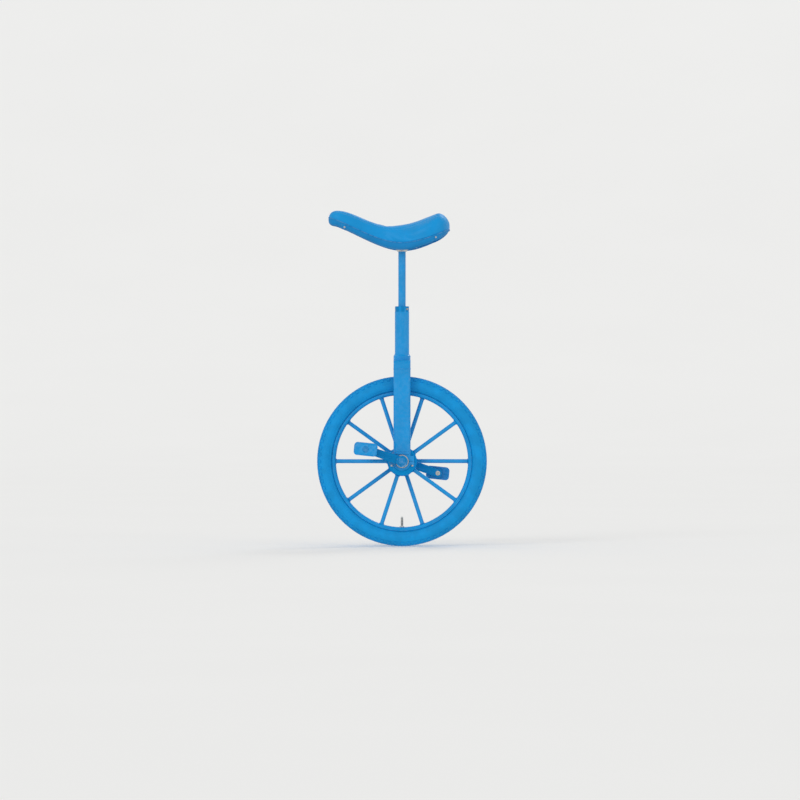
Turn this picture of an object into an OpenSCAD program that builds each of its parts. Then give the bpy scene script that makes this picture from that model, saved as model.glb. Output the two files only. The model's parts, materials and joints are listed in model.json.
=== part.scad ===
// Unicycle with a 20 inch wheel, ten round spokes and a two-leg fork.
// +Z is up, the wheel turns about Y, and the saddle's nose points along -X.
// The origin is the point where the tyre meets the ground.

/* [Wheel] */
// Diameter of the rim's bead seat
bead_d = 406; // [305:1:520]
// Height of the tyre from bead seat to tread
tyre_h = 51; // [40:1:62]
// Width of the tyre
tyre_w = 52; // [42:1:64]
// Thickness of the tyre's sidewall
tyre_wall = 3.5; // [2.5:0.1:5]
// Outer width of the rim
rim_w = 32; // [26:0.5:40]
// Depth of the rim's well below the bead seat
rim_depth = 5.6; // [4.5:0.1:9]
// Diameter of a spoke
spoke_d = 12; // [8:0.5:14.5]
// Diameter of the hub's flanges
flange_d = 88.6; // [78:0.2:107]
// Distance from the wheel's centre plane to the middle of a hub flange
flange_y = 25; // [21:0.5:26]

/* [Axle] */
// Distance between the middles of the two bearings
bearing_span = 100; // [96:1:122]
// Diameter of the axle at the bearings
journal_d = 17; // [14.2:0.1:17.4]
// Outer diameter of the bearings
bearing_d = 40; // [39:0.5:48]
// Width of the bearings
bearing_w = 12; // [10:0.5:14.4]

/* [Fork] */
// Width of a leg and of the fork crown, front to back
leg_w = 50.8; // [42:0.2:61]
// Thickness of a leg, side to side
leg_t = 20; // [16:0.5:24]
// Wall of the leg tubes
leg_wall = 1.6; // [1.2:0.1:2.5]
// Gap between the tyre's tread and the crown
crown_gap = 22; // [12:1:40]
// Height of the crown
crown_h = 43; // [36:1:60]
// Outer diameter of the neck
neck_d = 43; // [42.5:0.1:45]
// Length of the neck above the crown, with its clamp head
neck_l = 144; // [118:1:200]
// Height of the clamp head on top of the neck
clamp_h = 16; // [13:0.5:24]

/* [Cranks and pedals] */
// Length of a crank from axle to pedal spindle
crank_l = 114; // [94:1:137]
// Angle of the left crank above the forward horizontal
crank_rise = 19; // [0:1:90]
// Thickness of a crank arm
crank_t = 13; // [11:0.5:16]
// Length of a pedal along its spindle
pedal_w = 90; // [75:1:110]
// Length of a pedal, front to back
pedal_l = 69; // [60:1:84]
// Thickness of a pedal
pedal_t = 38; // [31:0.5:46]
// Tilt of the pedals, rear edge down
pedal_tilt = 6; // [0:1:20]

/* [Saddle] */
// Diameter of the saddle post
post_d = 22.2; // [18.5:0.1:27.2]
// Length of the saddle post
post_l = 290; // [280:1:400]
// Length of post that shows between the neck and the saddle
post_out = 163; // [136:1:196]
// Length of the saddle
saddle_l = 363; // [303:1:436]
// Width of the saddle at the rear
saddle_rear_w = 180; // [150:1:216]
// Width of the saddle at the nose
saddle_nose_w = 80; // [76:1:96]
// Thickness of the saddle's cover
cover_t = 2; // [1.5:0.1:3]
// Wall of the saddle's base
base_t = 4; // [3:0.5:5]

/* [Hidden] */
spokes = 10;
function spoke_name(i) = str("spoke_", i < 10 ? "0" : "", i);
$fn = 64;

// Clearances: between fixed pieces, and between pieces that turn or slide
fit = 0.02;
run = 0.05;
// Overshoot of a cutting solid past the face that it cuts
cut = 1;

// Colours
blue = "#0093D8";
deep_blue = "#0082C4";
steel = "silver";
nylon = "#2F3338";

left = -1;
right = 1;

// Wheel: radii are measured from the axle
bead_r = bead_d / 2;
tyre_r = bead_r + tyre_h;
tyre_mid_r = tyre_r - tyre_w / 2;
axle_z = tyre_r;
rim_flange_h = 6;
rim_flange_t = 2;
rim_bed_t = 2.5;
rim_inner_r = bead_r - rim_depth;
rim_bed_r = rim_inner_r + rim_bed_t;
rim_in_y = rim_w / 2 - rim_flange_t;
rim_well_y = rim_in_y - 5;
tape_t = 1;
tape_r = bead_r + run;
tube_gap = 1.3;
tube_wall = 1.2;
tube_mid_r = tyre_mid_r - 0.3;
tube_r = min(tyre_w / 2 - tyre_wall - tube_gap, tube_mid_r - tape_r - tape_t - tube_gap);

// Spokes: each runs from a hub flange to the rim's bed, beside its centre line
flange_r = flange_d / 2;
flange_t = spoke_d + 6;
spoke_r = spoke_d / 2;
spoke_seat = 14.3;
spoke_foot_r = flange_r - spoke_seat;
spoke_rim_y = 3;
spoke_slant = atan((flange_y - spoke_rim_y) / (rim_inner_r - spoke_foot_r));
spoke_step = 360 / spokes;
spoke_bolt_r = 3;
spoke_bolt_head_r = 5;
spoke_bolt_head_t = 2.4;
spoke_bolt_l = 22;
function spoke_side(i) = i % 2 == 1 ? right : left;
function spoke_angle(i) = (i - 1) * spoke_step;
// Distance along a spoke from its foot to a radius from the axle
function spoke_reach(r) = (r - spoke_foot_r) / cos(spoke_slant);

// Valve: it stands on the tube and points at the axle, and its places are radii from the axle
valve_shank_r = 4.15;
valve_thread_r = 3.85;
valve_bore_r = 2.6;
valve_bore_l = 12;
valve_base_r = 8;
valve_base_t = 0.9;
valve_start = tube_mid_r - tube_r - 0.2;
valve_l = 40;
valve_hole_gap = 0.25;
valve_nut_r = 7;
valve_nut_t = 2.5;
valve_nut_gap = 0.2;
valve_step = rim_inner_r - valve_nut_t - 2;

// Axle and bearings
bearing_y = bearing_span / 2;
bearing_r = bearing_d / 2;
bearing_in = bearing_y - bearing_w / 2;
bearing_out = bearing_y + bearing_w / 2;
journal_r = journal_d / 2;
ball_d = 6.747;
balls = 8;
pitch_r = (journal_r + bearing_r) / 2;
groove_r = 3.45;
inner_race_r = pitch_r - 2;
outer_race_r = pitch_r + 2.15;
seal_t = 0.8;
seal_inset = 0.3;
cage_t = 1.3;
cage_w = 8;
hub_end = min(36, bearing_in - 3);
hub_bore_r = journal_r + 2.5;
spacer_t = 3.5;
boss_in = bearing_out + 5;
taper_start = boss_in - 1;
taper_l = 17;
taper_end = taper_start + taper_l;
taper_flat = 12.73;
taper_angle = 2;
taper_corner_r = journal_r - 0.3;
crank_bolt_r = 4;

// Fork
leg_y = bearing_y;
leg_r = leg_t / 2;
crown_z = axle_z + tyre_r + crown_gap;
crown_top = crown_z + crown_h;
crown_shoulder_h = 26;
crown_edge = 3.4;
crown_floor = 6;
neck_r = neck_d / 2;
neck_wall = 2;
neck_in_r = neck_r - neck_wall;
// The neck is turned down where it enters the crown, and the clamp head is slimmer than the neck
neck_step = 0.5;
neck_spigot_r = neck_r - neck_step;
neck_bottom = crown_z + crown_floor;
clamp_top = crown_top + neck_l;
clamp_z = clamp_top - clamp_h;
clamp_spigot = 18;
clamp_r = neck_r - neck_step;
clamp_slit = 2.5;
clamp_bolt_r = 2;
clamp_head_r = 3.5;
clamp_head_h = 4;
clamp_seat_y = 5;
clamp_bolt_depth = 10.5;
clamp_bolt_land = 2.6;
post_r = post_d / 2;
clamp_bolt_x = post_r + run + clamp_bolt_r + clamp_bolt_land;
housing_w = bearing_w + 2;
housing_r = bearing_r + 7;
housing_top = max(30, housing_r + 3);
leg_bottom = axle_z + housing_top;
spigot_l = 20;
ear_bolt_x = bearing_r + 10;
ear_x = ear_bolt_x + 6;
ear_h = 10;
cap_gap = 0.3;
cap_bolt_r = 2.5;
cap_bolt_head_r = 4.25;
cap_bolt_head_h = 5;
cap_bolt_grip = 12;

// Cranks and pedals
crank_in = boss_in + 3;
crank_out = crank_in + crank_t;
boss_out = taper_end + 9;
boss_r = 17;
boss_in_r = 13;
arm_hub_r = 13;
arm_eye_r = 11.5;
pocket_depth = 2;
extractor_r = 11;
pedal_thread_r = 7.14;
spindle_r = 6;
spindle_flange_r = 8.5;
pedal_in = crank_out + 5;
pedal_out = pedal_in + pedal_w;
plate_t = 8;
barrel_r = 13;
barrel_bore_r = 9;
bush_l = 10;
pedal_corner_r = 10;
tread_gap = 0.3;
tread_w = pedal_l / 2 - barrel_r - 1.2;
rod_r = 3;
groove_w = 3;
groove_d = 2;
groove_pitch = 9;

// Saddle: the profile is set out from the lowest point of its underside
saddle_z = clamp_top + post_out;
nose_x = -saddle_l * 0.606;
tail_x = nose_x + saddle_l;
stations = 30;
ring_points = 32;
// Exponents of the rounded section: 1 is an ellipse, and 0 would be a box
crown_roundness = 0.78;
skirt_roundness = 0.42;
plate_z = 17;
plate_l = 100;
plate_w = 52;
bracket_t = 5;
sleeve_r = post_r + 3.9;
pad_h = 10;
pad_l = plate_l + 12;
seat_bolt_x = 40;
seat_bolt_y = 18;
seat_bolt_r = 3;
seat_bolt_head = 4.2;
seat_bolt_l = 11;
bumper_front_x = nose_x + 52;
bumper_rear_x = tail_x - 46;
seam = 0.4;
underside_inset = 12;

// ---------- general shapes ----------

module at_axle() {
    translate([0, 0, axle_z]) children();
}

// Shapes are drawn for the right side, which is +Y, and mirrored for the left
module on_side(side) {
    mirror([0, side == left ? 1 : 0, 0]) children();
}

// A solid of revolution about the axle from a profile of [radius, y] points
module turned(profile) {
    rotate([-90, 0, 0]) rotate_extrude() polygon(profile);
}

// A round bar along +Y from y0 to y1
module bar(r, y0, y1) {
    translate([0, y0, 0]) rotate([-90, 0, 0]) cylinder(r = r, h = y1 - y0);
}

module tube(r_out, r_in, y0, y1) {
    difference() {
        bar(r_out, y0, y1);
        bar(r_in, y0 - cut, y1 + cut);
    }
}

module post_tube(r_out, r_in, z0, z1) {
    translate([0, 0, z0]) difference() {
        cylinder(r = r_out, h = z1 - z0);
        translate([0, 0, -cut]) cylinder(r = r_in, h = z1 - z0 + 2 * cut);
    }
}

// A flat oval with round ends, its length along X
module oval(length, width) {
    square([length - width, width], center = true);
    for (s = [-1, 1]) translate([s * (length - width) / 2, 0]) circle(d = width);
}

module rounded(length, width, r) {
    square([length - 2 * r, width], center = true);
    square([length, width - 2 * r], center = true);
    for (x = [-1, 1], y = [-1, 1]) {
        translate([x * (length / 2 - r), y * (width / 2 - r)]) circle(r = r);
    }
}

// An arm outline between two round ends, the second at [length, 0]
module arm(r1, r2, length) {
    a = acos((r1 - r2) / length);
    circle(r = r1);
    translate([length, 0]) circle(r = r2);
    polygon([
        [r1 * cos(a), r1 * sin(a)], [length + r2 * cos(a), r2 * sin(a)],
        [length + r2 * cos(a), -r2 * sin(a)], [r1 * cos(a), -r1 * sin(a)]
    ]);
}

// Extrudes an X-Z outline along +Y from y0 to y1
module slab(y0, y1) {
    translate([0, y1, 0]) rotate([90, 0, 0]) linear_extrude(y1 - y0) children();
}

// ---------- fork ----------

module leg_outline(wall) {
    oval(leg_w - 2 * wall, leg_t - 2 * wall);
}

module leg(side) {
    color(blue) on_side(side) translate([0, leg_y, leg_bottom])
        linear_extrude(crown_z - leg_bottom) difference() {
            leg_outline(0);
            leg_outline(leg_wall);
        }
}

module crown_front() {
    reach = leg_y + leg_r;
    round = 22;
    intersection() {
        union() {
            translate([-reach + round, 0]) square([2 * (reach - round), crown_shoulder_h]);
            translate([-reach, 0]) square([2 * reach, crown_shoulder_h - round]);
            for (s = [-1, 1]) {
                translate([s * (reach - round), crown_shoulder_h - round]) circle(r = round);
            }
        }
        translate([-reach, 0]) square([2 * reach, crown_shoulder_h]);
    }
}

module fork_crown() {
    reach = leg_y + leg_r;
    color(blue) difference() {
        union() {
            intersection() {
                translate([-leg_w / 2, 0, crown_z]) rotate([90, 0, 90])
                    linear_extrude(leg_w) crown_front();
                translate([0, 0, crown_z]) linear_extrude(crown_shoulder_h)
                    rounded(leg_w, 2 * reach, leg_r);
            }
            translate([0, 0, crown_z]) cylinder(d = leg_w, h = crown_h - crown_edge);
            translate([0, 0, crown_top - crown_edge])
                cylinder(r1 = leg_w / 2, r2 = leg_w / 2 - crown_edge, h = crown_edge);
            for (s = [left, right]) {
                translate([0, s * leg_y, crown_z - spigot_l]) linear_extrude(spigot_l)
                    leg_outline(leg_wall + fit);
            }
        }
        translate([0, 0, neck_bottom]) cylinder(r = neck_spigot_r + fit, h = crown_h);
        translate([0, 0, crown_z - cut]) cylinder(r = post_r + 2, h = crown_h);
    }
}

module neck_tube() {
    color(blue) difference() {
        union() {
            translate([0, 0, crown_top + fit]) cylinder(r = neck_r, h = clamp_z - crown_top - fit);
            translate([0, 0, neck_bottom]) cylinder(r = neck_spigot_r, h = clamp_z - neck_bottom - cut);
        }
        translate([0, 0, neck_bottom - cut]) cylinder(r = neck_in_r, h = clamp_z - neck_bottom + 2 * cut);
    }
}

module neck_bush() {
    color(nylon) post_tube(neck_in_r - run, post_r + run, crown_top + 8, clamp_z - clamp_spigot - 2);
}

module clamp_head() {
    height = clamp_h + clamp_spigot;
    bolt_z = clamp_top - clamp_h / 2;
    color(deep_blue) difference() {
        union() {
            translate([0, 0, clamp_z]) cylinder(r = clamp_r, h = clamp_h);
            translate([0, 0, clamp_z - clamp_spigot]) cylinder(r = neck_in_r - fit, h = clamp_spigot);
        }
        translate([0, 0, clamp_z - clamp_spigot - cut])
            cylinder(r = post_r + run, h = height + 2 * cut);
        translate([0, -clamp_slit / 2, clamp_z - clamp_spigot - cut])
            cube([neck_r + cut, clamp_slit, height + 2 * cut]);
        translate([clamp_bolt_x, 0, bolt_z]) bar(clamp_bolt_r + fit, -neck_r, clamp_bolt_depth);
        translate([clamp_bolt_x, 0, bolt_z]) bar(clamp_head_r + 0.2, -neck_r, -clamp_seat_y);
    }
}

module clamp_bolt() {
    color(steel) translate([clamp_bolt_x, 0, clamp_top - clamp_h / 2]) difference() {
        union() {
            bar(clamp_bolt_r, -clamp_seat_y, clamp_bolt_depth - 0.5);
            bar(clamp_head_r, -clamp_seat_y - clamp_head_h, -clamp_seat_y);
        }
        translate([0, -clamp_seat_y - clamp_head_h - cut, 0]) rotate([-90, 0, 0])
            cylinder(r = 1.75, h = 2.2 + cut, $fn = 6);
    }
}

module ear_bolt_holes(r, z0, z1) {
    for (x = [-ear_bolt_x, ear_bolt_x]) {
        translate([x, bearing_y, z0]) cylinder(r = r, h = z1 - z0);
    }
}

module fork_end(side) {
    y0 = bearing_y - housing_w / 2;
    color(blue) on_side(side) difference() {
        union() {
            translate([-leg_w / 2, y0, axle_z + cap_gap])
                cube([leg_w, housing_w, housing_top - cap_gap - 8]);
            translate([-ear_x, y0, axle_z + cap_gap]) cube([2 * ear_x, housing_w, ear_h + 6]);
            translate([0, leg_y, leg_bottom - 8]) linear_extrude(8) leg_outline(0);
            translate([0, leg_y, leg_bottom]) linear_extrude(spigot_l) leg_outline(leg_wall + fit);
        }
        at_axle() bar(bearing_r + fit, y0 - cut, y0 + housing_w + cut);
        ear_bolt_holes(cap_bolt_r + fit, axle_z - cut, axle_z + cap_bolt_grip + cap_gap);
    }
}

module bearing_cap(side) {
    y0 = bearing_y - housing_w / 2;
    color(blue) on_side(side) difference() {
        union() {
            at_axle() bar(housing_r, y0, y0 + housing_w);
            translate([-ear_x, y0, axle_z - ear_h]) cube([2 * ear_x, housing_w, ear_h]);
        }
        at_axle() bar(bearing_r + fit, y0 - cut, y0 + housing_w + cut);
        translate([-housing_r * 2, y0 - cut, axle_z - cap_gap])
            cube([housing_r * 4, housing_w + 2 * cut, housing_r * 2]);
        ear_bolt_holes(cap_bolt_r + 0.2, axle_z - ear_h - cut, axle_z);
    }
}

module bearing_cap_bolts() {
    z0 = axle_z - ear_h;
    color(steel) for (s = [left, right], x = [-ear_bolt_x, ear_bolt_x]) {
        translate([x, s * bearing_y, z0]) difference() {
            union() {
                cylinder(r = cap_bolt_r, h = ear_h + cap_bolt_grip - 1);
                translate([0, 0, -cap_bolt_head_h]) cylinder(r = cap_bolt_head_r, h = cap_bolt_head_h);
            }
            translate([0, 0, -cap_bolt_head_h - cut]) cylinder(r = 2.3, h = 3 + cut, $fn = 6);
        }
    }
}

// ---------- bearings ----------

module race(r_in, r_out) {
    difference() {
        tube(r_out, r_in, bearing_in, bearing_out);
        translate([0, bearing_y, 0]) rotate([90, 0, 0]) rotate_extrude()
            translate([pitch_r, 0]) circle(r = groove_r);
    }
}

module bearing_outer_races() {
    color(steel) at_axle() for (s = [left, right]) on_side(s) race(outer_race_r, bearing_r);
}

module bearing_inner_races() {
    color(steel) at_axle() for (s = [left, right]) on_side(s) race(journal_r + fit, inner_race_r);
}

module bearing_seals() {
    seal_in_r = inner_race_r + 0.35;
    color(nylon) at_axle() for (s = [left, right]) on_side(s) {
        tube(outer_race_r - fit, seal_in_r, bearing_in + seal_inset, bearing_in + seal_inset + seal_t);
        tube(outer_race_r - fit, seal_in_r, bearing_out - seal_inset - seal_t, bearing_out - seal_inset);
    }
}

module ball_ring(r) {
    for (i = [0 : balls - 1]) {
        rotate([0, i * 360 / balls, 0]) translate([pitch_r, bearing_y, 0]) sphere(r = r, $fn = 32);
    }
}

// The balls and the cage that spaces them
module bearing_balls(side) {
    color(steel) at_axle() on_side(side) {
        ball_ring(ball_d / 2);
        difference() {
            tube(pitch_r + cage_t / 2, pitch_r - cage_t / 2,
                bearing_y - cage_w / 2, bearing_y + cage_w / 2);
            for (i = [0 : balls - 1]) {
                rotate([0, i * 360 / balls, 0]) translate([pitch_r, bearing_y, 0]) rotate([0, 90, 0])
                    cylinder(r = groove_r, h = 4 * cage_t, center = true);
            }
        }
    }
}

// ---------- wheel ----------

function mirrored(half) = concat(half, [for (i = [len(half) - 1 : -1 : 0]) [half[i][0], -half[i][1]]]);

// A smooth arc of [radius, y] points about the middle of the tyre's section
function section_arc(half_w, half_h, a0, a1, steps) = [
    for (i = [0 : steps])
        let (a = a0 + (a1 - a0) * i / steps) [tyre_mid_r + half_h * cos(a), half_w * sin(a)]
];

module tyre() {
    inner_w = tyre_w / 2 - tyre_wall;
    bead_y = rim_in_y - fit;
    outer_half = concat(
        section_arc(tyre_w / 2, tyre_r - tyre_mid_r, 0, 128, 22),
        [[bead_r + rim_flange_h + 1, bead_y + 3], [bead_r + rim_flange_h + 0.5, bead_y],
            [bead_r + run, bead_y], [bead_r + run, bead_y - 3]]
    );
    inner_half = section_arc(inner_w, tyre_r - tyre_mid_r - tyre_wall - 1, 145, 0, 20);
    half = concat(outer_half, inner_half);
    color(blue) at_axle() {
        turned(half);
        turned([for (p = half) [p[0], -p[1]]]);
    }
}

module inner_tube() {
    color(nylon) at_axle() rotate([90, 0, 0]) rotate_extrude()
        translate([tube_mid_r, 0]) difference() {
            circle(r = tube_r);
            circle(r = tube_r - tube_wall);
        }
}

module rim_tape() {
    color(nylon) at_axle() difference() {
        tube(tape_r + tape_t, tape_r, -rim_well_y - 2, rim_well_y + 2);
        valve_bar(valve_shank_r + valve_hole_gap, tyre_mid_r, rim_inner_r);
    }
}

module rim() {
    half = [
        [rim_inner_r, 0], [rim_inner_r, rim_in_y - 4], [rim_inner_r + 3.6, rim_w / 2],
        [bead_r + rim_flange_h, rim_w / 2], [bead_r + rim_flange_h, rim_in_y], [bead_r, rim_in_y],
        [bead_r, rim_well_y], [rim_bed_r, rim_well_y - 0.4], [rim_bed_r, 0]
    ];
    color(blue) at_axle() difference() {
        turned(mirrored(half));
        for (i = [1 : spokes]) {
            along_spoke(i, spoke_reach(rim_inner_r) - 8) cylinder(r = spoke_bolt_r + 0.3, h = 20);
        }
        valve_bar(valve_shank_r + valve_hole_gap, tyre_mid_r, rim_inner_r - 5);
    }
}

// Places children on the axis of a spoke, with +Z outwards, at a distance from its foot
module along_spoke(i, distance) {
    side = spoke_side(i);
    rotate([0, -spoke_angle(i), 0]) translate([spoke_foot_r, side * flange_y, 0])
        rotate([0, 0, -side * spoke_slant]) rotate([0, 90, 0])
            translate([0, 0, distance]) children();
}

module spoke(i) {
    length = spoke_reach(rim_inner_r) + 8;
    color(blue) at_axle() difference() {
        intersection() {
            along_spoke(i, 0) cylinder(r = spoke_r, h = length);
            bar(rim_inner_r - run, -rim_w, rim_w);
        }
        along_spoke(i, spoke_reach(rim_inner_r) - spoke_bolt_l)
            cylinder(r = spoke_bolt_r + fit, h = 2 * spoke_bolt_l);
    }
}

module spoke_bolts() {
    seat = spoke_reach(rim_bed_r);
    tip_gap = 2;
    color(steel) at_axle() for (i = [1 : spokes]) {
        along_spoke(i, spoke_reach(rim_inner_r) - spoke_bolt_l + tip_gap)
            cylinder(r = spoke_bolt_r, h = spoke_bolt_l - tip_gap + rim_bed_t + 1);
        intersection() {
            difference() {
                along_spoke(i, seat - 3) cylinder(r = spoke_bolt_head_r, h = 12);
                bar(rim_bed_r + fit, -rim_w, rim_w);
            }
            bar(rim_bed_r + spoke_bolt_head_t, -rim_w, rim_w);
        }
    }
}

module hub() {
    y0 = flange_y - flange_t / 2;
    y1 = flange_y + flange_t / 2;
    edge = 2;
    barrel = 21;
    half = [
        [hub_bore_r + fit, 0], [barrel, 0], [barrel, y0], [flange_r - edge, y0], [flange_r, y0 + edge],
        [flange_r, y1 - edge], [flange_r - edge, y1], [16, y1], [16, hub_end], [hub_bore_r + fit, hub_end]
    ];
    color(blue) at_axle() difference() {
        union() {
            turned(half);
            turned([for (p = half) [p[0], -p[1]]]);
        }
        for (i = [1 : spokes]) along_spoke(i, -fit) cylinder(r = spoke_r + fit, h = 40);
    }
}

// The square taper of an axle end, or with extra the hole that takes it
module square_taper(y0, y1, extra) {
    half0 = taper_flat / 2 + (taper_end - y0) * tan(taper_angle) + extra;
    half1 = taper_flat / 2 + (taper_end - y1) * tan(taper_angle) + extra;
    side_view = [[-half0, y0], [half0, y0], [half1, y1], [-half1, y1]];
    intersection() {
        translate([0, 0, -30]) linear_extrude(60) polygon(side_view);
        rotate([0, 90, 0]) translate([0, 0, -30]) linear_extrude(60) polygon(side_view);
        bar(taper_corner_r + extra, y0 - cut, y1 + cut);
    }
}

module on_crank(side) {
    at_axle() on_side(side) rotate([0, side == left ? crank_rise - 180 : crank_rise, 0]) children();
}

module axle() {
    color(steel) difference() {
        union() {
            at_axle() bar(hub_bore_r, -hub_end, hub_end);
            at_axle() bar(journal_r, -taper_start, taper_start);
            for (s = [left, right]) on_crank(s) square_taper(taper_start - cut, taper_end, 0);
        }
        for (s = [left, right]) at_axle() on_side(s)
            bar(crank_bolt_r + fit, taper_end - 20, taper_end + cut);
    }
}

module axle_spacers() {
    color(steel) at_axle() for (s = [left, right]) on_side(s) {
        tube(journal_r + spacer_t, journal_r + fit, hub_end, bearing_in);
        tube(journal_r + spacer_t - 0.5, journal_r + fit, bearing_out, boss_in);
    }
}

// ---------- valve ----------

// A bar that points at the axle from radius r0 in to r1, below the axle
module valve_bar(r, r0, r1) {
    translate([0, 0, -r0]) cylinder(r = r, h = r0 - r1);
}

module valve_stem() {
    tip = valve_start - valve_l;
    color(steel) at_axle() difference() {
        union() {
            valve_bar(valve_base_r, valve_start, valve_start - valve_base_t);
            valve_bar(valve_shank_r, valve_start - valve_base_t / 2, valve_step);
            valve_bar(valve_thread_r, valve_step + cut, tip);
        }
        valve_bar(valve_bore_r, tip + valve_bore_l, tip - cut);
    }
}

module valve_nut() {
    seat = rim_inner_r - valve_nut_gap;
    color(steel) at_axle() difference() {
        translate([0, 0, -seat]) cylinder(r = valve_nut_r, h = valve_nut_t, $fn = 6);
        valve_bar(valve_shank_r + fit, rim_inner_r + cut, seat - valve_nut_t - cut);
    }
}

// ---------- cranks ----------

module crank(side) {
    color(deep_blue) on_crank(side) difference() {
        union() {
            slab(crank_in, crank_out) arm(arm_hub_r, arm_eye_r, crank_l);
            bar(boss_r, crank_in, boss_out);
            bar(boss_in_r, boss_in, crank_in + cut);
            translate([crank_l, 0, 0]) bar(arm_eye_r + 1, crank_in, crank_out);
        }
        square_taper(boss_in - cut, taper_end + cut, fit);
        bar(extractor_r, taper_end + cut, boss_out + cut);
        bar(crank_bolt_r * 1.6, taper_end - fit, taper_end + 2 * cut);
        translate([crank_l, 0, 0]) bar(pedal_thread_r + fit, crank_in - cut, crank_out + cut);
        slab(crank_out - pocket_depth, crank_out + cut)
            translate([crank_l / 2 + 2, 0]) oval(crank_l - 56, 9);
    }
}

module crank_bolts() {
    seat = taper_end + cut;
    color(steel) for (s = [left, right]) at_axle() on_side(s) difference() {
        union() {
            bar(crank_bolt_r, taper_end - 18, seat);
            bar(extractor_r - 0.6, seat, seat + 1.4);
            bar(crank_bolt_r * 1.7, seat + cut, seat + 5.5);
        }
        translate([0, seat + 1.8, 0]) rotate([-90, 0, 0]) cylinder(r = 4, h = 5, $fn = 6);
    }
}

module crank_dust_caps() {
    color(nylon) for (s = [left, right]) at_axle() on_side(s)
        turned([[0, boss_out - 1.6], [extractor_r - fit, boss_out - 1.6], [extractor_r - fit, boss_out],
            [extractor_r - 1.4, boss_out + 1], [0, boss_out + 1.6]]);
}

// ---------- pedals ----------

module on_spindle(side) {
    on_crank(side) translate([crank_l, 0, 0]) children();
}

module on_pedal(side) {
    on_spindle(side) rotate([0, pedal_tilt - (side == left ? crank_rise - 180 : crank_rise), 0]) children();
}

module pedal_spindle(side) {
    y_end = pedal_out - 7;
    color(steel) on_spindle(side) difference() {
        union() {
            bar(pedal_thread_r, crank_in + 0.5, crank_out + 1);
            bar(spindle_flange_r, crank_out + 0.2, crank_out + 4);
            bar(spindle_r, crank_out + 3, y_end - 3);
            bar(spindle_r + 1.6, y_end - 3, y_end);
        }
        translate([0, crank_in, 0]) rotate([-90, 0, 0]) cylinder(r = 3.5, h = 5, $fn = 6);
    }
}

module pedal_outline() {
    rounded(pedal_l, pedal_t, pedal_corner_r);
}

module tread_rods(r) {
    for (s = [-1, 1]) {
        translate([s * (pedal_l / 2 - tread_w / 2 - 1), 0, 0]) bar(r, pedal_in + 2, pedal_out - 2);
    }
}

module pedal_body(side) {
    color(blue) on_pedal(side) {
        difference() {
            union() {
                bar(barrel_r, pedal_in, pedal_out);
                slab(pedal_in, pedal_in + plate_t) pedal_outline();
                slab(pedal_out - plate_t, pedal_out) pedal_outline();
                tread_rods(rod_r);
            }
            bar(barrel_bore_r, pedal_in - cut, pedal_out + cut);
        }
    }
}

module tread_block() {
    intersection() {
        pedal_outline();
        translate([barrel_r + 1.2, -pedal_t]) square([tread_w + cut, 2 * pedal_t]);
    }
}

module pedal_treads(side) {
    y0 = pedal_in + plate_t + tread_gap;
    y1 = pedal_out - plate_t - tread_gap;
    grooves = floor((y1 - y0 - groove_pitch) / groove_pitch);
    color(deep_blue) on_pedal(side) difference() {
        for (s = [0, 1]) mirror([s, 0, 0]) slab(y0, y1) tread_block();
        tread_rods(rod_r + fit);
        for (i = [0 : grooves], s = [-1, 1]) {
            y = (y0 + y1) / 2 + (i - grooves / 2) * groove_pitch;
            translate([-pedal_l, y - groove_w / 2, s * pedal_t / 2 - groove_d])
                cube([2 * pedal_l, groove_w, 2 * groove_d]);
        }
    }
}

module pedal_bushes(side) {
    color(nylon) on_pedal(side) {
        tube(barrel_bore_r - fit, spindle_r + run, pedal_in + 1, pedal_in + 1 + bush_l);
        tube(barrel_bore_r - fit, spindle_r + run, pedal_out - 11 - bush_l, pedal_out - 11);
    }
}

module pedal_cap(side) {
    color(nylon) on_pedal(side) turned([[0, pedal_out - 3], [barrel_bore_r - fit, pedal_out - 3],
        [barrel_bore_r - fit, pedal_out], [barrel_bore_r - 1, pedal_out + 0.8], [0, pedal_out + 1.2]]);
}

// ---------- saddle ----------

// A point on a Bezier curve of four control points
function bezier(c, t) = pow(1 - t, 3) * c[0] + 3 * pow(1 - t, 2) * t * c[1]
    + 3 * (1 - t) * t * t * c[2] + t * t * t * c[3];

// The curve's second coordinate where its first is x, by halving
function bezier_at(c, x, lo = 0, hi = 1, n = 24) =
    n == 0 ? bezier(c, (lo + hi) / 2)[1]
    : bezier(c, (lo + hi) / 2)[0] < x ? bezier_at(c, x, (lo + hi) / 2, hi, n - 1)
    : bezier_at(c, x, lo, (lo + hi) / 2, n - 1);

function chain_at(chain, x) =
    let (hits = [for (c = chain) if (x <= c[3][0]) c])
    bezier_at(len(hits) > 0 ? hits[0] : chain[len(chain) - 1], x);

// A curve's anchors scale along X with the saddle's length
sx = saddle_l / 363;
function stretch(chain) = [for (c = chain) [for (p = c) [p[0] * sx, p[1]]]];

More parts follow.
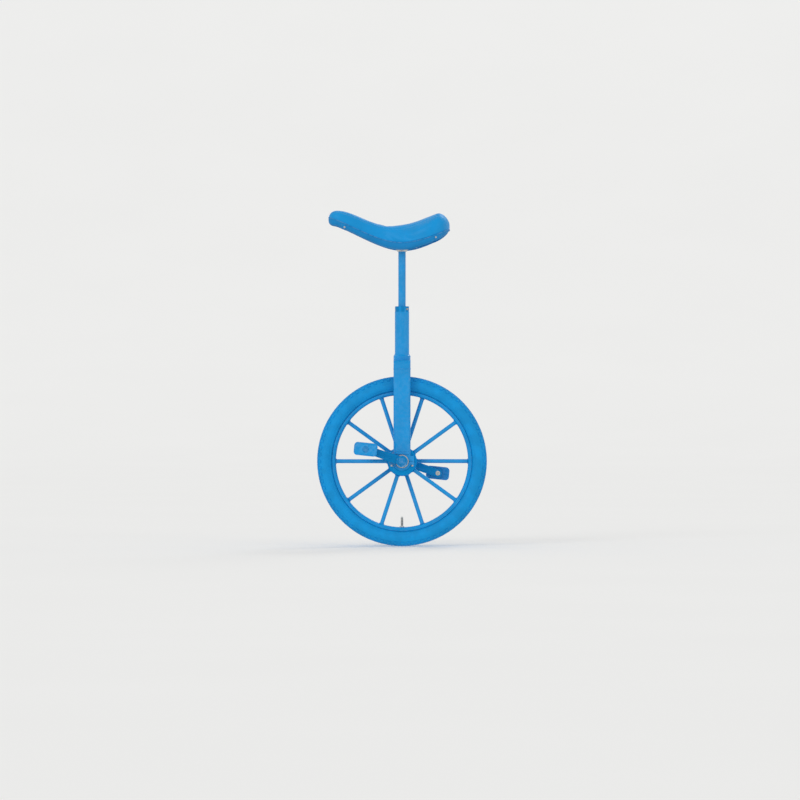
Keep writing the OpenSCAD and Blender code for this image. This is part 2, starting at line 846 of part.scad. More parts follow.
top_line = stretch([
    [[-220, 96], [-220, 116], [-208, 124], [-194, 124]],
    [[-194, 124], [-142, 124], [-96, 77], [-21, 77]],
    [[-21, 77], [27, 77], [64, 95], [103, 114]],
    [[103, 114], [119, 122], [143, 99], [143, 75]]
]);
under_line = stretch([
    [[-220, 96], [-220, 76], [-203, 78], [-195, 75]],
    [[-195, 75], [-145, 57], [-58, 0], [8, 0]],
    [[8, 0], [39, 0], [67, 10], [105, 28]],
    [[105, 28], [121, 36], [143, 55], [143, 75]]
]);
parting_line = stretch([
    [[-226, 104], [-166, 90], [-75, 26], [0, 26]],
    [[0, 26], [50, 26], [110, 49], [150, 72]]
]);
nose_half = saddle_nose_w / 2;
rear_half = saddle_rear_w / 2;
plan_line = stretch([
    [[-220, 0], [-220, nose_half * 0.65], [-206, nose_half], [-178, nose_half]],
    [[-178, nose_half], [-120, nose_half], [-90, nose_half - 3], [-60, nose_half - 2]],
    [[-60, nose_half - 2], [-10, nose_half + 4], [20, rear_half], [80, rear_half]],
    [[80, rear_half], [118, rear_half], [143, rear_half * 0.68], [143, 0]]
]);
front_end = top_line[0][0][0];
rear_end = top_line[3][3][0];

function signed_power(v, p) = sign(v) * pow(abs(v), p);

function saddle_ring(x, inset) =
    let (top = chain_at(top_line, x), under = chain_at(under_line, x))
    let (h = (top - under) / 2 - inset, w = chain_at(plan_line, x) - inset)
    [for (j = [0 : ring_points - 1])
        let (a = 360 * (j + 0.5) / ring_points, p = sin(a) > 0 ? crown_roundness : skirt_roundness)
        [x, w * signed_power(cos(a), p), (top + under) / 2 + h * signed_power(sin(a), p)]];

// The saddle's outer form, or a smaller one that lies inset within it
module saddle_form(inset) {
    x0 = front_end + 0.25 + inset;
    x1 = rear_end - 0.25 - inset;
    rings = [for (i = [0 : stations]) saddle_ring((x0 + x1) / 2 - (x1 - x0) / 2 * cos(180 * i / stations), inset)];
    n = ring_points;
    points = [for (ring = rings) each ring];
    sides = [for (i = [0 : stations - 1], j = [0 : n - 1])
        let (k = (j + 1) % n)
        each [[i * n + j, (i + 1) * n + j, (i + 1) * n + k], [i * n + j, (i + 1) * n + k, i * n + k]]];
    front_face = [for (j = [0 : n - 1]) j];
    rear_face = [for (j = [n - 1 : -1 : 0]) stations * n + j];
    polyhedron(points, concat([front_face], sides, [rear_face]));
}

function trace(chain, steps) = [for (c = chain, i = [0 : steps - 1]) bezier(c, i / steps)];

// Everything under the line where the padding meets the base
module below_parting(drop) {
    line = [for (p = trace(parting_line, 12)) [p[0], p[1] - drop]];
    slab(-rear_half - 10, rear_half + 10)
        polygon(concat([[front_end - 10, -20]], [[front_end - 10, line[0][1]]], line,
            [[rear_end + 10, 72 - drop]], [[rear_end + 10, -20]]));
}

module plan_prism(inset) {
    half = [for (p = trace(plan_line, 10)) if (p[1] > inset) [p[0], p[1] - inset]];
    translate([0, 0, -30]) linear_extrude(160)
        polygon(concat(half, [for (i = [len(half) - 1 : -1 : 0]) [half[i][0], -half[i][1]]]));
}

module between(x0, x1) {
    translate([x0, -rear_half - 20, -40]) cube([x1 - x0, 2 * rear_half + 40, 220]);
}

module at_saddle() {
    translate([0, 0, saddle_z]) children();
}

module base_shell() {
    difference() {
        intersection() {
            saddle_form(0);
            below_parting(0);
        }
        intersection() {
            union() {
                saddle_form(base_t);
                plan_prism(underside_inset);
            }
            below_parting(base_t);
        }
    }
}

module pad_block(extra) {
    translate([-pad_l / 2 - extra, -plate_w / 2 - extra, plate_z + bracket_t])
        cube([pad_l + 2 * extra, plate_w + 2 * extra, pad_h + extra]);
}

module seat_bolt_places() {
    for (x = [-seat_bolt_x, seat_bolt_x], y = [-seat_bolt_y, seat_bolt_y]) translate([x, y, 0]) children();
}

module seat_base() {
    color(deep_blue) at_saddle() difference() {
        union() {
            intersection() {
                base_shell();
                between(bumper_front_x + seam, bumper_rear_x - seam);
            }
            pad_block(0);
        }
        seat_bolt_places() cylinder(r = seat_bolt_r + fit, h = plate_z + bracket_t + seat_bolt_l - 1);
    }
}

module front_bumper() {
    color(deep_blue) at_saddle() intersection() {
        base_shell();
        between(front_end - 20, bumper_front_x);
    }
}

module rear_bumper() {
    color(deep_blue) at_saddle() intersection() {
        base_shell();
        between(bumper_rear_x, rear_end + 20);
    }
}

module seat_foam() {
    color("#7FC4E6") at_saddle() difference() {
        saddle_form(cover_t + run);
        below_parting(-run);
        pad_block(run);
    }
}

module seat_cover() {
    color(blue) at_saddle() difference() {
        saddle_form(0);
        saddle_form(cover_t);
        below_parting(-run);
    }
}

module seat_bracket() {
    color(steel) at_saddle() difference() {
        union() {
            translate([0, 0, plate_z]) linear_extrude(bracket_t) rounded(plate_l, plate_w, 8);
            translate([0, 0, 1]) cylinder(r = sleeve_r, h = plate_z);
            for (s = [0, 1]) mirror([s, 0, 0]) translate([0, 1.5, plate_z + 1]) rotate([90, 0, 0])
                linear_extrude(3) polygon([[post_r + 2, -14], [sleeve_r + 1, -14], [30, 0], [post_r + 2, 0]]);
        }
        translate([0, 0, -cut]) cylinder(r = post_r + fit, h = plate_z + cut);
        seat_bolt_places() cylinder(r = seat_bolt_r + 0.3, h = 60);
    }
}

module seat_bolts() {
    color(steel) at_saddle() seat_bolt_places() {
        translate([0, 0, plate_z - seat_bolt_head]) cylinder(r = 5.77, h = seat_bolt_head, $fn = 6);
        translate([0, 0, plate_z - cut]) cylinder(r = seat_bolt_r, h = bracket_t + seat_bolt_l - 2);
    }
}

module seat_post() {
    top = saddle_z + plate_z;
    color(deep_blue) post_tube(post_r, post_r - 1.6, top - post_l, top);
}

// ---------- the nodes ----------

neck_tube();
neck_bush();
clamp_head();
clamp_bolt();
fork_crown();
leg(left);  // left_leg
leg(right);  // right_leg
fork_end(left);  // left_fork_end
fork_end(right);  // right_fork_end
bearing_cap(left);  // left_bearing_cap
bearing_cap(right);  // right_bearing_cap
bearing_cap_bolts();
bearing_outer_races();
bearing_seals();
tyre();
inner_tube();
rim_tape();
rim();
for (i = [1 : spokes]) {
    spoke(i);
}
spoke_bolts();
hub();
axle();
bearing_inner_races();
axle_spacers();
crank(left);  // left_crank
crank(right);  // right_crank
crank_bolts();
crank_dust_caps();
pedal_spindle(left);  // left_pedal_spindle
pedal_spindle(right);  // right_pedal_spindle
valve_stem();
valve_nut();
bearing_balls(left);  // left_bearing_balls
bearing_balls(right);  // right_bearing_balls
pedal_body(left);  // left_pedal_body
pedal_treads(left);  // left_pedal_treads
pedal_bushes(left);  // left_pedal_bushes
pedal_cap(left);  // left_pedal_cap
pedal_body(right);  // right_pedal_body
pedal_treads(right);  // right_pedal_treads
pedal_bushes(right);  // right_pedal_bushes
pedal_cap(right);  // right_pedal_cap
seat_post();
seat_bracket();
seat_bolts();
seat_base();
seat_foam();
seat_cover();
front_bumper();
rear_bumper();
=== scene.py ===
"""A 20 inch unicycle: the looks of its pieces, built around its engineering frame."""

import json
import math

import bpy
from mathutils import Matrix, Vector


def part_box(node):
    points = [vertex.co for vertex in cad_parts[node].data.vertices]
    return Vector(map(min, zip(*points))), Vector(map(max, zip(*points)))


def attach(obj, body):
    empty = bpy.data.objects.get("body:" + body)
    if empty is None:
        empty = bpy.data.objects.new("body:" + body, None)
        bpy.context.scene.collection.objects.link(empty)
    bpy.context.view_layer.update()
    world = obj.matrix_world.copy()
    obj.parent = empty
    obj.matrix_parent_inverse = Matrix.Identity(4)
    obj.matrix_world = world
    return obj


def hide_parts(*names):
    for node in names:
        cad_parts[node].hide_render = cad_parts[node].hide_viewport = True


bl_info = {
    "name": "Unicycle",
    "version": (1, 0, 0),
    "blender": (4, 5, 0),
    "location": "3D View > Sidebar > Unicycle",
    "description": "Adds a unicycle with its tyre, saddle, welds, stitching and finishes",
    "category": "Add Mesh",
}

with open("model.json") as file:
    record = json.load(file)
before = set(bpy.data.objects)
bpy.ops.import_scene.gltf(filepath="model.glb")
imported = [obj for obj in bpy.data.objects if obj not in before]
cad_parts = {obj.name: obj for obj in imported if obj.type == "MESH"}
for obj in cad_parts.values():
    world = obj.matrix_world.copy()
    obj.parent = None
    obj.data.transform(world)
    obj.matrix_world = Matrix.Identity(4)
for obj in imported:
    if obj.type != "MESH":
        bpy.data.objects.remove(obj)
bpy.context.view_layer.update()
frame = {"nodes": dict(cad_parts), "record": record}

# Lengths below are in metres. One that is easier to read in millimetres is given as a number times MM.
MM = 0.001
TURN = 2 * math.pi

# Places taken from the frame. The nose points along -X, and the rider's left is -Y.
TYRE_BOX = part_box("tyre")
RIM_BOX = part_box("rim")
HUB_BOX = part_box("hub")
SPOKE_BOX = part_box("spoke_01")
NECK_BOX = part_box("neck_tube")
CROWN_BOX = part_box("fork_crown")
LEG_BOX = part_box("right_leg")
STEM_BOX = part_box("valve_stem")
BRACKET_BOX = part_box("seat_bracket")
FRONT_BUMPER_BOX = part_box("front_bumper")
REAR_BUMPER_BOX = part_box("rear_bumper")

AXLE = (TYRE_BOX[0] + TYRE_BOX[1]) / 2
TYRE_R = TYRE_BOX[1].z - AXLE.z
SECTION_R = TYRE_BOX[1].y
SECTION_MID_R = TYRE_R - SECTION_R
FLANGE_R = RIM_BOX[1].z - AXLE.z
RIM_HALF = RIM_BOX[1].y
HUB_R = HUB_BOX[1].z - AXLE.z
SPOKE_OUT_R = SPOKE_BOX[1].x
SPOKE_R = (SPOKE_BOX[1].z - SPOKE_BOX[0].z) / 2
SPOKES = sum(1 for name in frame["nodes"] if name.startswith("spoke_") and name != "spoke_bolts")
NECK_R = NECK_BOX[1].x
# The saddle's outlines are set out from the lowest point of its underside, 1 mm under the bracket's sleeve
SADDLE = Vector((0, 0, BRACKET_BOX[0].z - 1 * MM))
PEDAL_SIDES = ("left", "right")


def slot_colour(name):
    """The colour that the record gives a material slot."""
    for entry in frame["record"]["materials"]:
        if entry["slot"] == name:
            return tuple(entry["base_color"])
    raise ValueError("no slot named " + name)


# ---------------------------------------------------------------- what a user would change


def colour_property(label, text, default):
    return bpy.props.FloatVectorProperty(
        name=label, description=text, default=default, subtype="COLOR", size=3, min=0, max=1
    )


def length_property(label, text, default):
    return bpy.props.FloatProperty(
        name=label, description=text, default=default, subtype="DISTANCE", unit="LENGTH", precision=5, min=0
    )


class UnicycleColours(bpy.types.PropertyGroup):
    """The colours of the finishes"""

    paint: colour_property("Paint", "Coat of the fork, rim, spokes and post", slot_colour("frame_paint"))
    anodised: colour_property("Anodised", "Aluminium of the hub", slot_colour("hub_metal"))
    deep: colour_property("Deep anodised", "Cranks, clamp and nylon caps", slot_colour("crank_metal"))
    rubber: colour_property("Tyre", "Coloured rubber of the tyre", slot_colour("tyre_rubber"))
    tread: colour_property("Pedal treads", "Rubber blocks of the pedals", slot_colour("tread_rubber"))
    vinyl: colour_property("Cover", "Vinyl of the saddle's cover", slot_colour("cover_fabric"))
    plastic: colour_property("Pedal bodies", "Moulded plastic of the pedals", slot_colour("pedal_plastic"))
    base: colour_property("Base", "Moulded plastic of the saddle's base", slot_colour("base_plastic"))
    bumper: colour_property("Bumpers", "Coarse plastic of the bumpers", slot_colour("bumper_plastic"))
    steel: colour_property("Zinc", "Zinc plated screws and spindles", slot_colour("plain_steel"))
    nylon: colour_property("Nylon", "Bushes and seals", slot_colour("nylon"))
    butyl: colour_property("Butyl", "Inner tube and rim tape", slot_colour("tube_rubber"))
    thread: colour_property("Thread", "Stitching of the cover", (0.10, 0.45, 0.80))
    studio: colour_property("Studio", "Floor and backdrop", (0.90, 0.90, 0.89))


class UnicycleSizes(bpy.types.PropertyGroup):
    """The sizes of the details"""

    lug_height: length_property("Tread depth", "Height of the tyre's blocks", 1.6 * MM)
    lug_rows: bpy.props.IntProperty(
        name="Tread pitches", description="Rows of blocks round the tyre", default=76
    )
    edge_round: length_property("Edge rounding", "Rounding of machined and cast edges", 0.5 * MM)
    weld_size: length_property("Weld bead", "Radius of the weld beads", 1.7 * MM)
    collar_r: length_property("Spoke collar", "Radius of the bead of a spoke's collar", 1.3 * MM)
    cover_inset: length_property("Cover cut", "How much smaller the cover is cut than it ends up", 0.6 * MM)
    cover_cap: length_property("Cover swell", "Most that the filling may move the cover", 3.4 * MM)
    seam_depth: length_property("Seam depth", "How far a sewn seam draws the cover in", 1.5 * MM)
    stitch_pitch: length_property("Stitch pitch", "Distance from one stitch to the next", 5.5 * MM)
    stitch_length: length_property("Stitch length", "Length of a stitch", 3.6 * MM)
    piping_r: length_property("Piping", "Radius of the trim between cover and base", 1.5 * MM)
    base_wall: length_property("Base wall", "Wall of the saddle's base", 4 * MM)
    lip: length_property("Base lip", "Width of the lip under the saddle's edge", 12 * MM)
    thread_pitch: length_property("Valve thread", "Pitch of the valve's thread", 0.8 * MM)
    camera_distance: length_property("Camera distance", "From the camera to the wheel's plane", 13.3)


# ---------------------------------------------------------------- working on meshes


def choose(*objs):
    """Leaves only these objects selected, and the first one active."""
    if bpy.context.object and bpy.context.object.mode != "OBJECT":
        bpy.ops.object.mode_set(mode="OBJECT")
    bpy.ops.object.select_all(action="DESELECT")
    for obj in objs:
        obj.select_set(True)
    bpy.context.view_layer.objects.active = objs[0] if objs else None


def primitive(kind, name, **settings):
    """Adds a mesh primitive with nothing else selected."""
    choose()
    getattr(bpy.ops.mesh, "primitive_" + kind + "_add")(**settings)
    obj = bpy.context.object
    obj.name = name
    obj.data.name = name
    return obj


def everything(_):
    return True


def edit(obj, kind, test):
    """Opens edit mode with the vertices, edges or polygons that pass the test selected."""
    choose(obj)
    kinds = ("vertices", "edges", "polygons")
    bpy.context.tool_settings.mesh_select_mode = [kind == each for each in kinds]
    for each in kinds:
        for item in getattr(obj.data, each):
            item.select = False
    for item in getattr(obj.data, kind):
        item.select = test(item)
    bpy.ops.object.mode_set(mode="EDIT")


def leave_edit():
    bpy.ops.object.mode_set(mode="OBJECT")


def reshape(obj, kind, test, operator, **settings):
    """Runs one edit mode operator on the vertices, edges or polygons that pass the test."""
    edit(obj, kind, test)
    getattr(bpy.ops.mesh, operator)(**settings)
    leave_edit()


def tidy_mesh(obj, gap=0.002 * MM):
    """Merges doubled points and turns every face outwards."""
    edit(obj, "vertices", everything)
    bpy.ops.mesh.remove_doubles(threshold=gap)
    bpy.ops.mesh.select_all(action="SELECT")
    bpy.ops.mesh.normals_make_consistent(inside=False)
    leave_edit()


def move_points(obj, place):
    """Moves every point to place(point)."""
    for vertex in obj.data.vertices:
        vertex.co = place(vertex.co.copy())
    obj.data.update()


def add_modifier(obj, kind, **settings):
    modifier = obj.modifiers.new(kind.title(), kind)
    for name, value in settings.items():
        setattr(modifier, name, value)
    return modifier


def apply_modifiers(obj):
    choose(obj)
    for modifier in list(obj.modifiers):
        bpy.ops.object.modifier_apply(modifier=modifier.name)


def round_edges(obj, width, segments=2, degrees=35):
    add_modifier(
        obj, "BEVEL", width=width, segments=segments, limit_method="ANGLE", angle_limit=math.radians(degrees)
    )
    apply_modifiers(obj)


def smooth(obj, degrees=32):
    choose(obj)
    bpy.ops.object.shade_smooth_by_angle(angle=math.radians(degrees))


def copy_of(obj, name, matrix=None):
    """A copy with its own mesh, moved by the matrix."""
    twin = obj.copy()
    twin.data = obj.data.copy()
    twin.name = name
    bpy.context.scene.collection.objects.link(twin)
    if matrix:
        twin.data.transform(matrix)
    return twin


def join(objs, name):
    choose(*objs)
    if len(objs) > 1:
        bpy.ops.object.join()
    joined = bpy.context.object
    joined.name = name
    joined.data.name = name
    return joined


def about(centre, angle, axis):
    """A turn about an axis through a point."""
    return Matrix.Translation(centre) @ Matrix.Rotation(angle, 4, axis) @ Matrix.Translation(-centre)


def facing(direction):
    """The turn that points +Z along a direction."""
    return Vector(direction).to_track_quat("Z", "Y").to_matrix().to_4x4()


def turned(name, outline, steps, centre=AXLE, axis=(0, 1, 0)):
    """A ring turned from a closed outline of (radius, distance along the axis) points."""
    ring = primitive("circle", name, vertices=len(outline), radius=1)
    along = Vector(axis)
    out = Vector((0, 0, 1)) if axis[2] == 0 else Vector((1, 0, 0))
    for vertex, (radius, distance) in zip(ring.data.vertices, outline):
        vertex.co = centre + out * radius + along * distance
    reshape(ring, "vertices", everything, "spin", steps=steps, angle=TURN, center=centre, axis=axis)
    tidy_mesh(ring)
    return ring


def swept(name, path, radius, closed=False, sides=4):
    """A round tube along a path."""
    curve = bpy.data.curves.new(name, "CURVE")
    curve.dimensions = "3D"
    curve.bevel_depth = radius
    curve.bevel_resolution = sides
    curve.use_fill_caps = not closed
    spline = curve.splines.new("POLY")
    spline.points.add(len(path) - 1)
    for point, place in zip(spline.points, path):
        point.co = (*place, 1)
    spline.use_cyclic_u = closed
    tube = bpy.data.objects.new(name, curve)
    bpy.context.scene.collection.objects.link(tube)
    choose(tube)
    bpy.ops.object.convert(target="MESH")
    tube = bpy.context.object
    tidy_mesh(tube)
    return tube


def wrapped(name, rows, columns, place):
    """A sheet of rows and columns, its corner points at place(0, 0) and place(1, 1)."""
    sheet = primitive("grid", name, x_subdivisions=rows, y_subdivisions=columns, size=1)

    def corner(p):
        return place(round((p.x + 0.5) * rows) / rows, round((p.y + 0.5) * columns) / columns)

    move_points(sheet, corner)
    return sheet


def deliver(obj, body, slot, *nodes, finish=None):
    """Gives a piece its body, its slot with that slot's finish or another, and the nodes it stands for."""
    obj.data.materials.clear()
    obj.data.materials.append(finish or finish_for(slot))
    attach(obj, body)
    if nodes:
        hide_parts(*nodes)


# ---------------------------------------------------------------- finishes


class Signal:
    """A shader value that takes part in sums."""

    def __init__(self, finish, socket):
        self.finish = finish
        self.socket = socket

    def __add__(self, other):
        return self.finish.maths("ADD", self, other)

    def __sub__(self, other):
        return self.finish.maths("SUBTRACT", self, other)

    def __rsub__(self, other):
        return self.finish.maths("SUBTRACT", other, self)

    def __mul__(self, other):
        return self.finish.maths("MULTIPLY", self, other)

    __radd__ = __add__
    __rmul__ = __mul__


class Finish:
    """A material in the making. Its patterns are laid out in the object's own metres."""

    def __init__(self, name, **constants):
        self.material = bpy.data.materials.new(name)
        self.material.use_nodes = True
        self.tree = self.material.node_tree
        self.shader = self.tree.nodes["Principled BSDF"]
        self.relief = None
        for socket, value in constants.items():
            self.feed(self.shader.inputs[socket.replace("_", " ")], value)

    def feed(self, socket, value):
        if isinstance(value, Signal):
            self.tree.links.new(value.socket, socket)
        elif socket.type == "RGBA":
            socket.default_value = (*value[:3], 1)
        else:
            socket.default_value = value

    def add(self, kind, settings=None, sockets=None, output=0):
        """Adds any node: its settings first, then its sockets' values or links."""
        node = self.tree.nodes.new("ShaderNode" + kind)
        for name, value in (settings or {}).items():
            setattr(node, name, value)
        for name, value in (sockets or {}).items():
            self.feed(node.inputs[name], value)
        return Signal(self, node.outputs[output])

    def maths(self, operation, first, second=0.0):
        return self.add("Math", {"operation": operation}, {0: first, 1: second})

    def places(self, size=(1, 1, 1), centre=(0, 0, 0)):
        """Object coordinates from a centre, in units of the given sizes."""
        origin = self.add("TexCoord", output="Object")
        scale = [1 / each for each in size]
        shift = [-each * by for each, by in zip(centre, scale)]
        return self.add("Mapping", {}, {"Vector": origin, "Location": shift, "Scale": scale})

    def noise(self, size, detail=2.0, stretch=(1, 1, 1)):
        """Cloudy values from 0 to 1, with features of about that size."""
        spots = self.places([size * each for each in stretch])
        return self.add("TexNoise", {}, {"Vector": spots, "Scale": 1.0, "Detail": detail})

    def cells(self, size):
        """The distance from the middle of leather-like cells of that size."""
        sockets = {"Vector": self.places([size] * 3), "Scale": 1.0, "Randomness": 1.0}
        return self.add("TexVoronoi", {}, sockets)

    def step(self, value, low, high):
        """Rises smoothly from 0 at low to 1 at high."""
        sockets = {"Value": value, "From Min": low, "From Max": high}
        return self.add("MapRange", {"interpolation_type": "SMOOTHSTEP"}, sockets)

    def axes(self, centre):
        """The three distances from a centre, in metres."""
        split = self.tree.nodes.new("ShaderNodeSeparateXYZ")
        self.feed(split.inputs[0], self.places(centre=centre))
        return [Signal(self, output) for output in split.outputs]

    def wheel_polar(self):
        """Radius from the axle, angle about it and distance along it."""
        x, y, z = self.axes(AXLE)
        radius = self.maths("SQRT", x * x + z * z)
        return radius, self.maths("ARCTAN2", z, x), y

    def edges(self, low=0.52, high=0.60):
        """1 on sharp outer edges."""
        return self.step(self.add("NewGeometry", output="Pointiness"), low, high)

    def mixed(self, mask, first, second):
        sockets = {0: mask, 6: first, 7: second}
        return self.add("Mix", {"data_type": "RGBA"}, sockets, output=2)

    def raise_by(self, height, distance):
        """Adds a pattern to the surface's relief; height 1 stands that far out."""
        sockets = {"Height": height, "Distance": distance, "Strength": 1.0}
        if self.relief:
            sockets["Normal"] = self.relief
        self.relief = self.add("Bump", {}, sockets)

    def done(self, **varying):
        """Connects what varies over the surface, and the relief."""
        for socket, value in varying.items():
            self.feed(self.shader.inputs[socket.replace("_", " ")], value)
        if self.relief:
            self.feed(self.shader.inputs["Normal"], self.relief)
        return self.material


def tone(colour, by):
    """A lighter or darker tone of a colour."""
    return tuple(min(1, each * by) for each in colour)


def dusty(colour, amount=0.35):
    """A colour with grey dust on it."""
    return tuple(each * (1 - amount) + 0.42 * amount for each in colour)


def powder_coat(name, colour, gloss):
    """Baked powder coat: orange peel, faint clouds of tone, small chips and rubbed edges."""
    finish = Finish(name, Coat_Weight=gloss, Coat_Roughness=0.06, IOR=1.5, Specular_IOR_Level=0.2)
    cloud = finish.step(finish.noise(0.07, 3), 0.35, 0.65)
    body = finish.mixed(cloud, tone(colour, 0.93), tone(colour, 1.05))
    rub = finish.edges() * finish.step(finish.noise(0.012, 4), 0.42, 0.60)
    worn = finish.mixed(rub * 0.55, body, dusty(tone(colour, 1.25), 0.30))
    film = finish.step(finish.noise(0.030, 5), 0.52, 0.78)
    finish.raise_by(finish.noise(1.3 * MM, 1), 0.035 * MM)
    finish.raise_by(finish.noise(0.25 * MM, 1), 0.006 * MM)
    return finish.done(
        Base_Color=finish.mixed(film * 0.05, worn, dusty(colour)),
        Roughness=0.30 + (1 - gloss) * 0.14 + cloud * 0.05 + film * 0.14 + rub * 0.2,
    )


def turned_aluminium(name, colour, centre):
    """Anodised aluminium with fine lathe lines about the axle and bright rubbed edges."""
    finish = Finish(name, Metallic=0.82, IOR=1.5)
    x, _, z = finish.axes(centre)
    radius = finish.maths("SQRT", x * x + z * z)
    groove = radius * (1 / (0.30 * MM))
    lines = finish.add("TexNoise", {"noise_dimensions": "1D"}, {"W": groove, "Scale": 1.0})
    cloud = finish.noise(0.035, 3)
    rub = finish.edges(0.53, 0.62) * finish.step(finish.noise(0.006, 3), 0.35, 0.6)
    body = finish.mixed(cloud, tone(colour, 0.94), tone(colour, 1.06))
    finish.raise_by(lines, 0.014 * MM)
    finish.raise_by(finish.noise(0.4 * MM, 2), 0.006 * MM)
    return finish.done(
        Base_Color=finish.mixed(rub * 0.4, body, (0.40, 0.60, 0.76)),
        Roughness=0.30 + lines * 0.10 + finish.step(cloud, 0.4, 0.8) * 0.05,
    )


def zinc_steel(name, colour):
    """Bright zinc plate: drawn lines, faint bloom and dark specks."""
    finish = Finish(name, Metallic=1.0)
    bloom = finish.noise(0.010, 4)
    drawn = finish.noise(0.5 * MM, 2, (0.4, 6, 0.4))
    speck = finish.step(finish.noise(1.6 * MM, 4), 0.64, 0.74)
    body = finish.mixed(finish.step(bloom, 0.3, 0.7), tone(colour, 0.86), (0.66, 0.65, 0.60))
    finish.raise_by(drawn, 0.008 * MM)
    return finish.done(
        Base_Color=finish.mixed(speck * 0.5, body, (0.20, 0.19, 0.18)),
        Roughness=0.26 + drawn * 0.10 + bloom * 0.12 + speck * 0.2,
    )


def moulded_plastic(name, colour, grain, depth, roughness):
    """Moulded plastic with a spark-eroded grain, flow clouds and paler scuffs on its edges."""
    finish = Finish(name, IOR=1.46, Specular_IOR_Level=0.3)
    sparks = finish.noise(grain, 3)
    cloud = finish.step(finish.noise(0.045, 3), 0.3, 0.7)
    scuff = finish.edges(0.51, 0.57) * finish.step(finish.noise(0.007, 5), 0.38, 0.62)
    scratch = finish.step(finish.noise(0.004, 3, (9, 1, 0.5)), 0.66, 0.72)
    body = finish.mixed(cloud, tone(colour, 0.92), tone(colour, 1.06))
    finish.raise_by(sparks, depth)
    finish.raise_by(1 - scratch, 0.03 * MM)
    return finish.done(
        Base_Color=finish.mixed(scuff * 0.45 + scratch * 0.12, body, dusty(tone(colour, 1.3), 0.35)),
        Roughness=roughness + sparks * 0.12 + scuff * 0.12,
    )


def tyre_compound(name, colour):
    """Coloured rubber: mould skin and knurled bands on the walls, dust on the worn crown."""
    finish = Finish(name, IOR=1.48, Specular_IOR_Level=0.25)
    radius, angle, side = finish.wheel_polar()
    crown = finish.step(radius, TYRE_R - 3.4 * MM, TYRE_R - 0.3 * MM)
    wall = 1 - finish.step(radius, SECTION_MID_R + 4 * MM, SECTION_MID_R + 11 * MM)
    low = 1 - finish.step(radius, FLANGE_R + 4 * MM, FLANGE_R + 9 * MM)
    knurl = finish.maths("SINE", angle * 720) * 0.5 + 0.5
    grit = finish.noise(0.7 * MM, 3)
    patch = finish.step(finish.noise(0.035, 4), 0.36, 0.68)
    streak = finish.step(finish.noise(0.009, 4, (1, 4, 1)), 0.45, 0.7)
    body = finish.mixed(patch, tone(colour, 0.90), tone(colour, 1.05))
    grey = dusty(tone(colour, 0.92), 0.30)
    finish.raise_by(grit, 0.10 * MM)
    finish.raise_by(knurl * low * wall, 0.25 * MM)
    return finish.done(
        Base_Color=finish.mixed(crown * (0.18 + streak * 0.36), body, grey),
        Roughness=0.62 + grit * 0.10 + crown * 0.12 - wall * 0.06 + finish.maths("ABSOLUTE", side) * 0.5,
    )


def soft_rubber(name, colour, roughness):
    """Plain moulded rubber with a talc bloom."""
    finish = Finish(name, IOR=1.48)
    grit = finish.noise(0.6 * MM, 3)
    bloom = finish.step(finish.noise(0.018, 5), 0.45, 0.75)
    finish.raise_by(grit, 0.08 * MM)
    worn = finish.edges(0.51, 0.58) * finish.step(finish.noise(0.005, 3), 0.4, 0.6)
    body = finish.mixed(bloom * 0.5, colour, dusty(tone(colour, 1.05), 0.22))
    return finish.done(
        Base_Color=finish.mixed(worn * 0.4, body, dusty(tone(colour, 1.2), 0.4)),
        Roughness=roughness + grit * 0.12 + bloom * 0.08,
    )


def grained_vinyl(name, colour):
    """Upholstery vinyl: pebbled grain in two sizes with painted shade darkening its valleys, soft creases,
    and a shine where a rider sits.
    """
    finish = Finish(name, IOR=1.47, Specular_IOR_Level=0.25)
    pebble = finish.cells(1.5 * MM)
    fine = finish.cells(0.6 * MM)
    crease = finish.step(finish.noise(0.020, 4, (0.6, 2, 1)), 0.50, 0.66)
    cloud = finish.step(finish.noise(0.06, 3), 0.3, 0.7)
    along, _, _ = finish.axes((0.035, 0, 0))
    seat = 1 - finish.step(finish.maths("ABSOLUTE", along), 0.03, 0.10)
    body = finish.mixed(cloud, tone(colour, 0.94), tone(colour, 1.05))
    # The grain's valleys: the vinyl is painted darker there as shade, and is made a little rougher there
    shaded_valley = finish.step(pebble, 0.55, 0.95)
    finish.raise_by(1 - pebble, 0.16 * MM)
    finish.raise_by(1 - fine, 0.05 * MM)
    finish.raise_by(crease, 0.10 * MM)
    return finish.done(
        # Painted shade: the colour darkens towards a deeper tone in the grain's valleys
        Base_Color=finish.mixed(shaded_valley * 0.35, body, tone(colour, 0.72)),
        Roughness=0.46 + shaded_valley * 0.14 - seat * 0.07 + crease * 0.04,
    )


def twisted_thread(name, colour):
    """Bonded thread with its plies showing, coloured darker in the grooves between them as painted shade and
    lighter on their crests as painted light.
    """
    finish = Finish(name)
    plies = finish.noise(0.35 * MM, 2, (2, 0.5, 1))
    finish.raise_by(plies, 0.10 * MM)
    return finish.done(
        # Painted shade and light: the colour follows the plies' relief, darker where low and lighter where
        # high
        Base_Color=finish.mixed(plies, tone(colour, 0.8), tone(colour, 1.15)), Roughness=0.5 + plies * 0.2
    )


def studio_paper(name, colour):
    """Matt backdrop paper."""
    finish = Finish(name, Specular_IOR_Level=0.0)
    cloud = finish.noise(0.8, 2)
    return finish.done(Base_Color=finish.mixed(cloud, tone(colour, 0.99), tone(colour, 1.01)), Roughness=0.95)


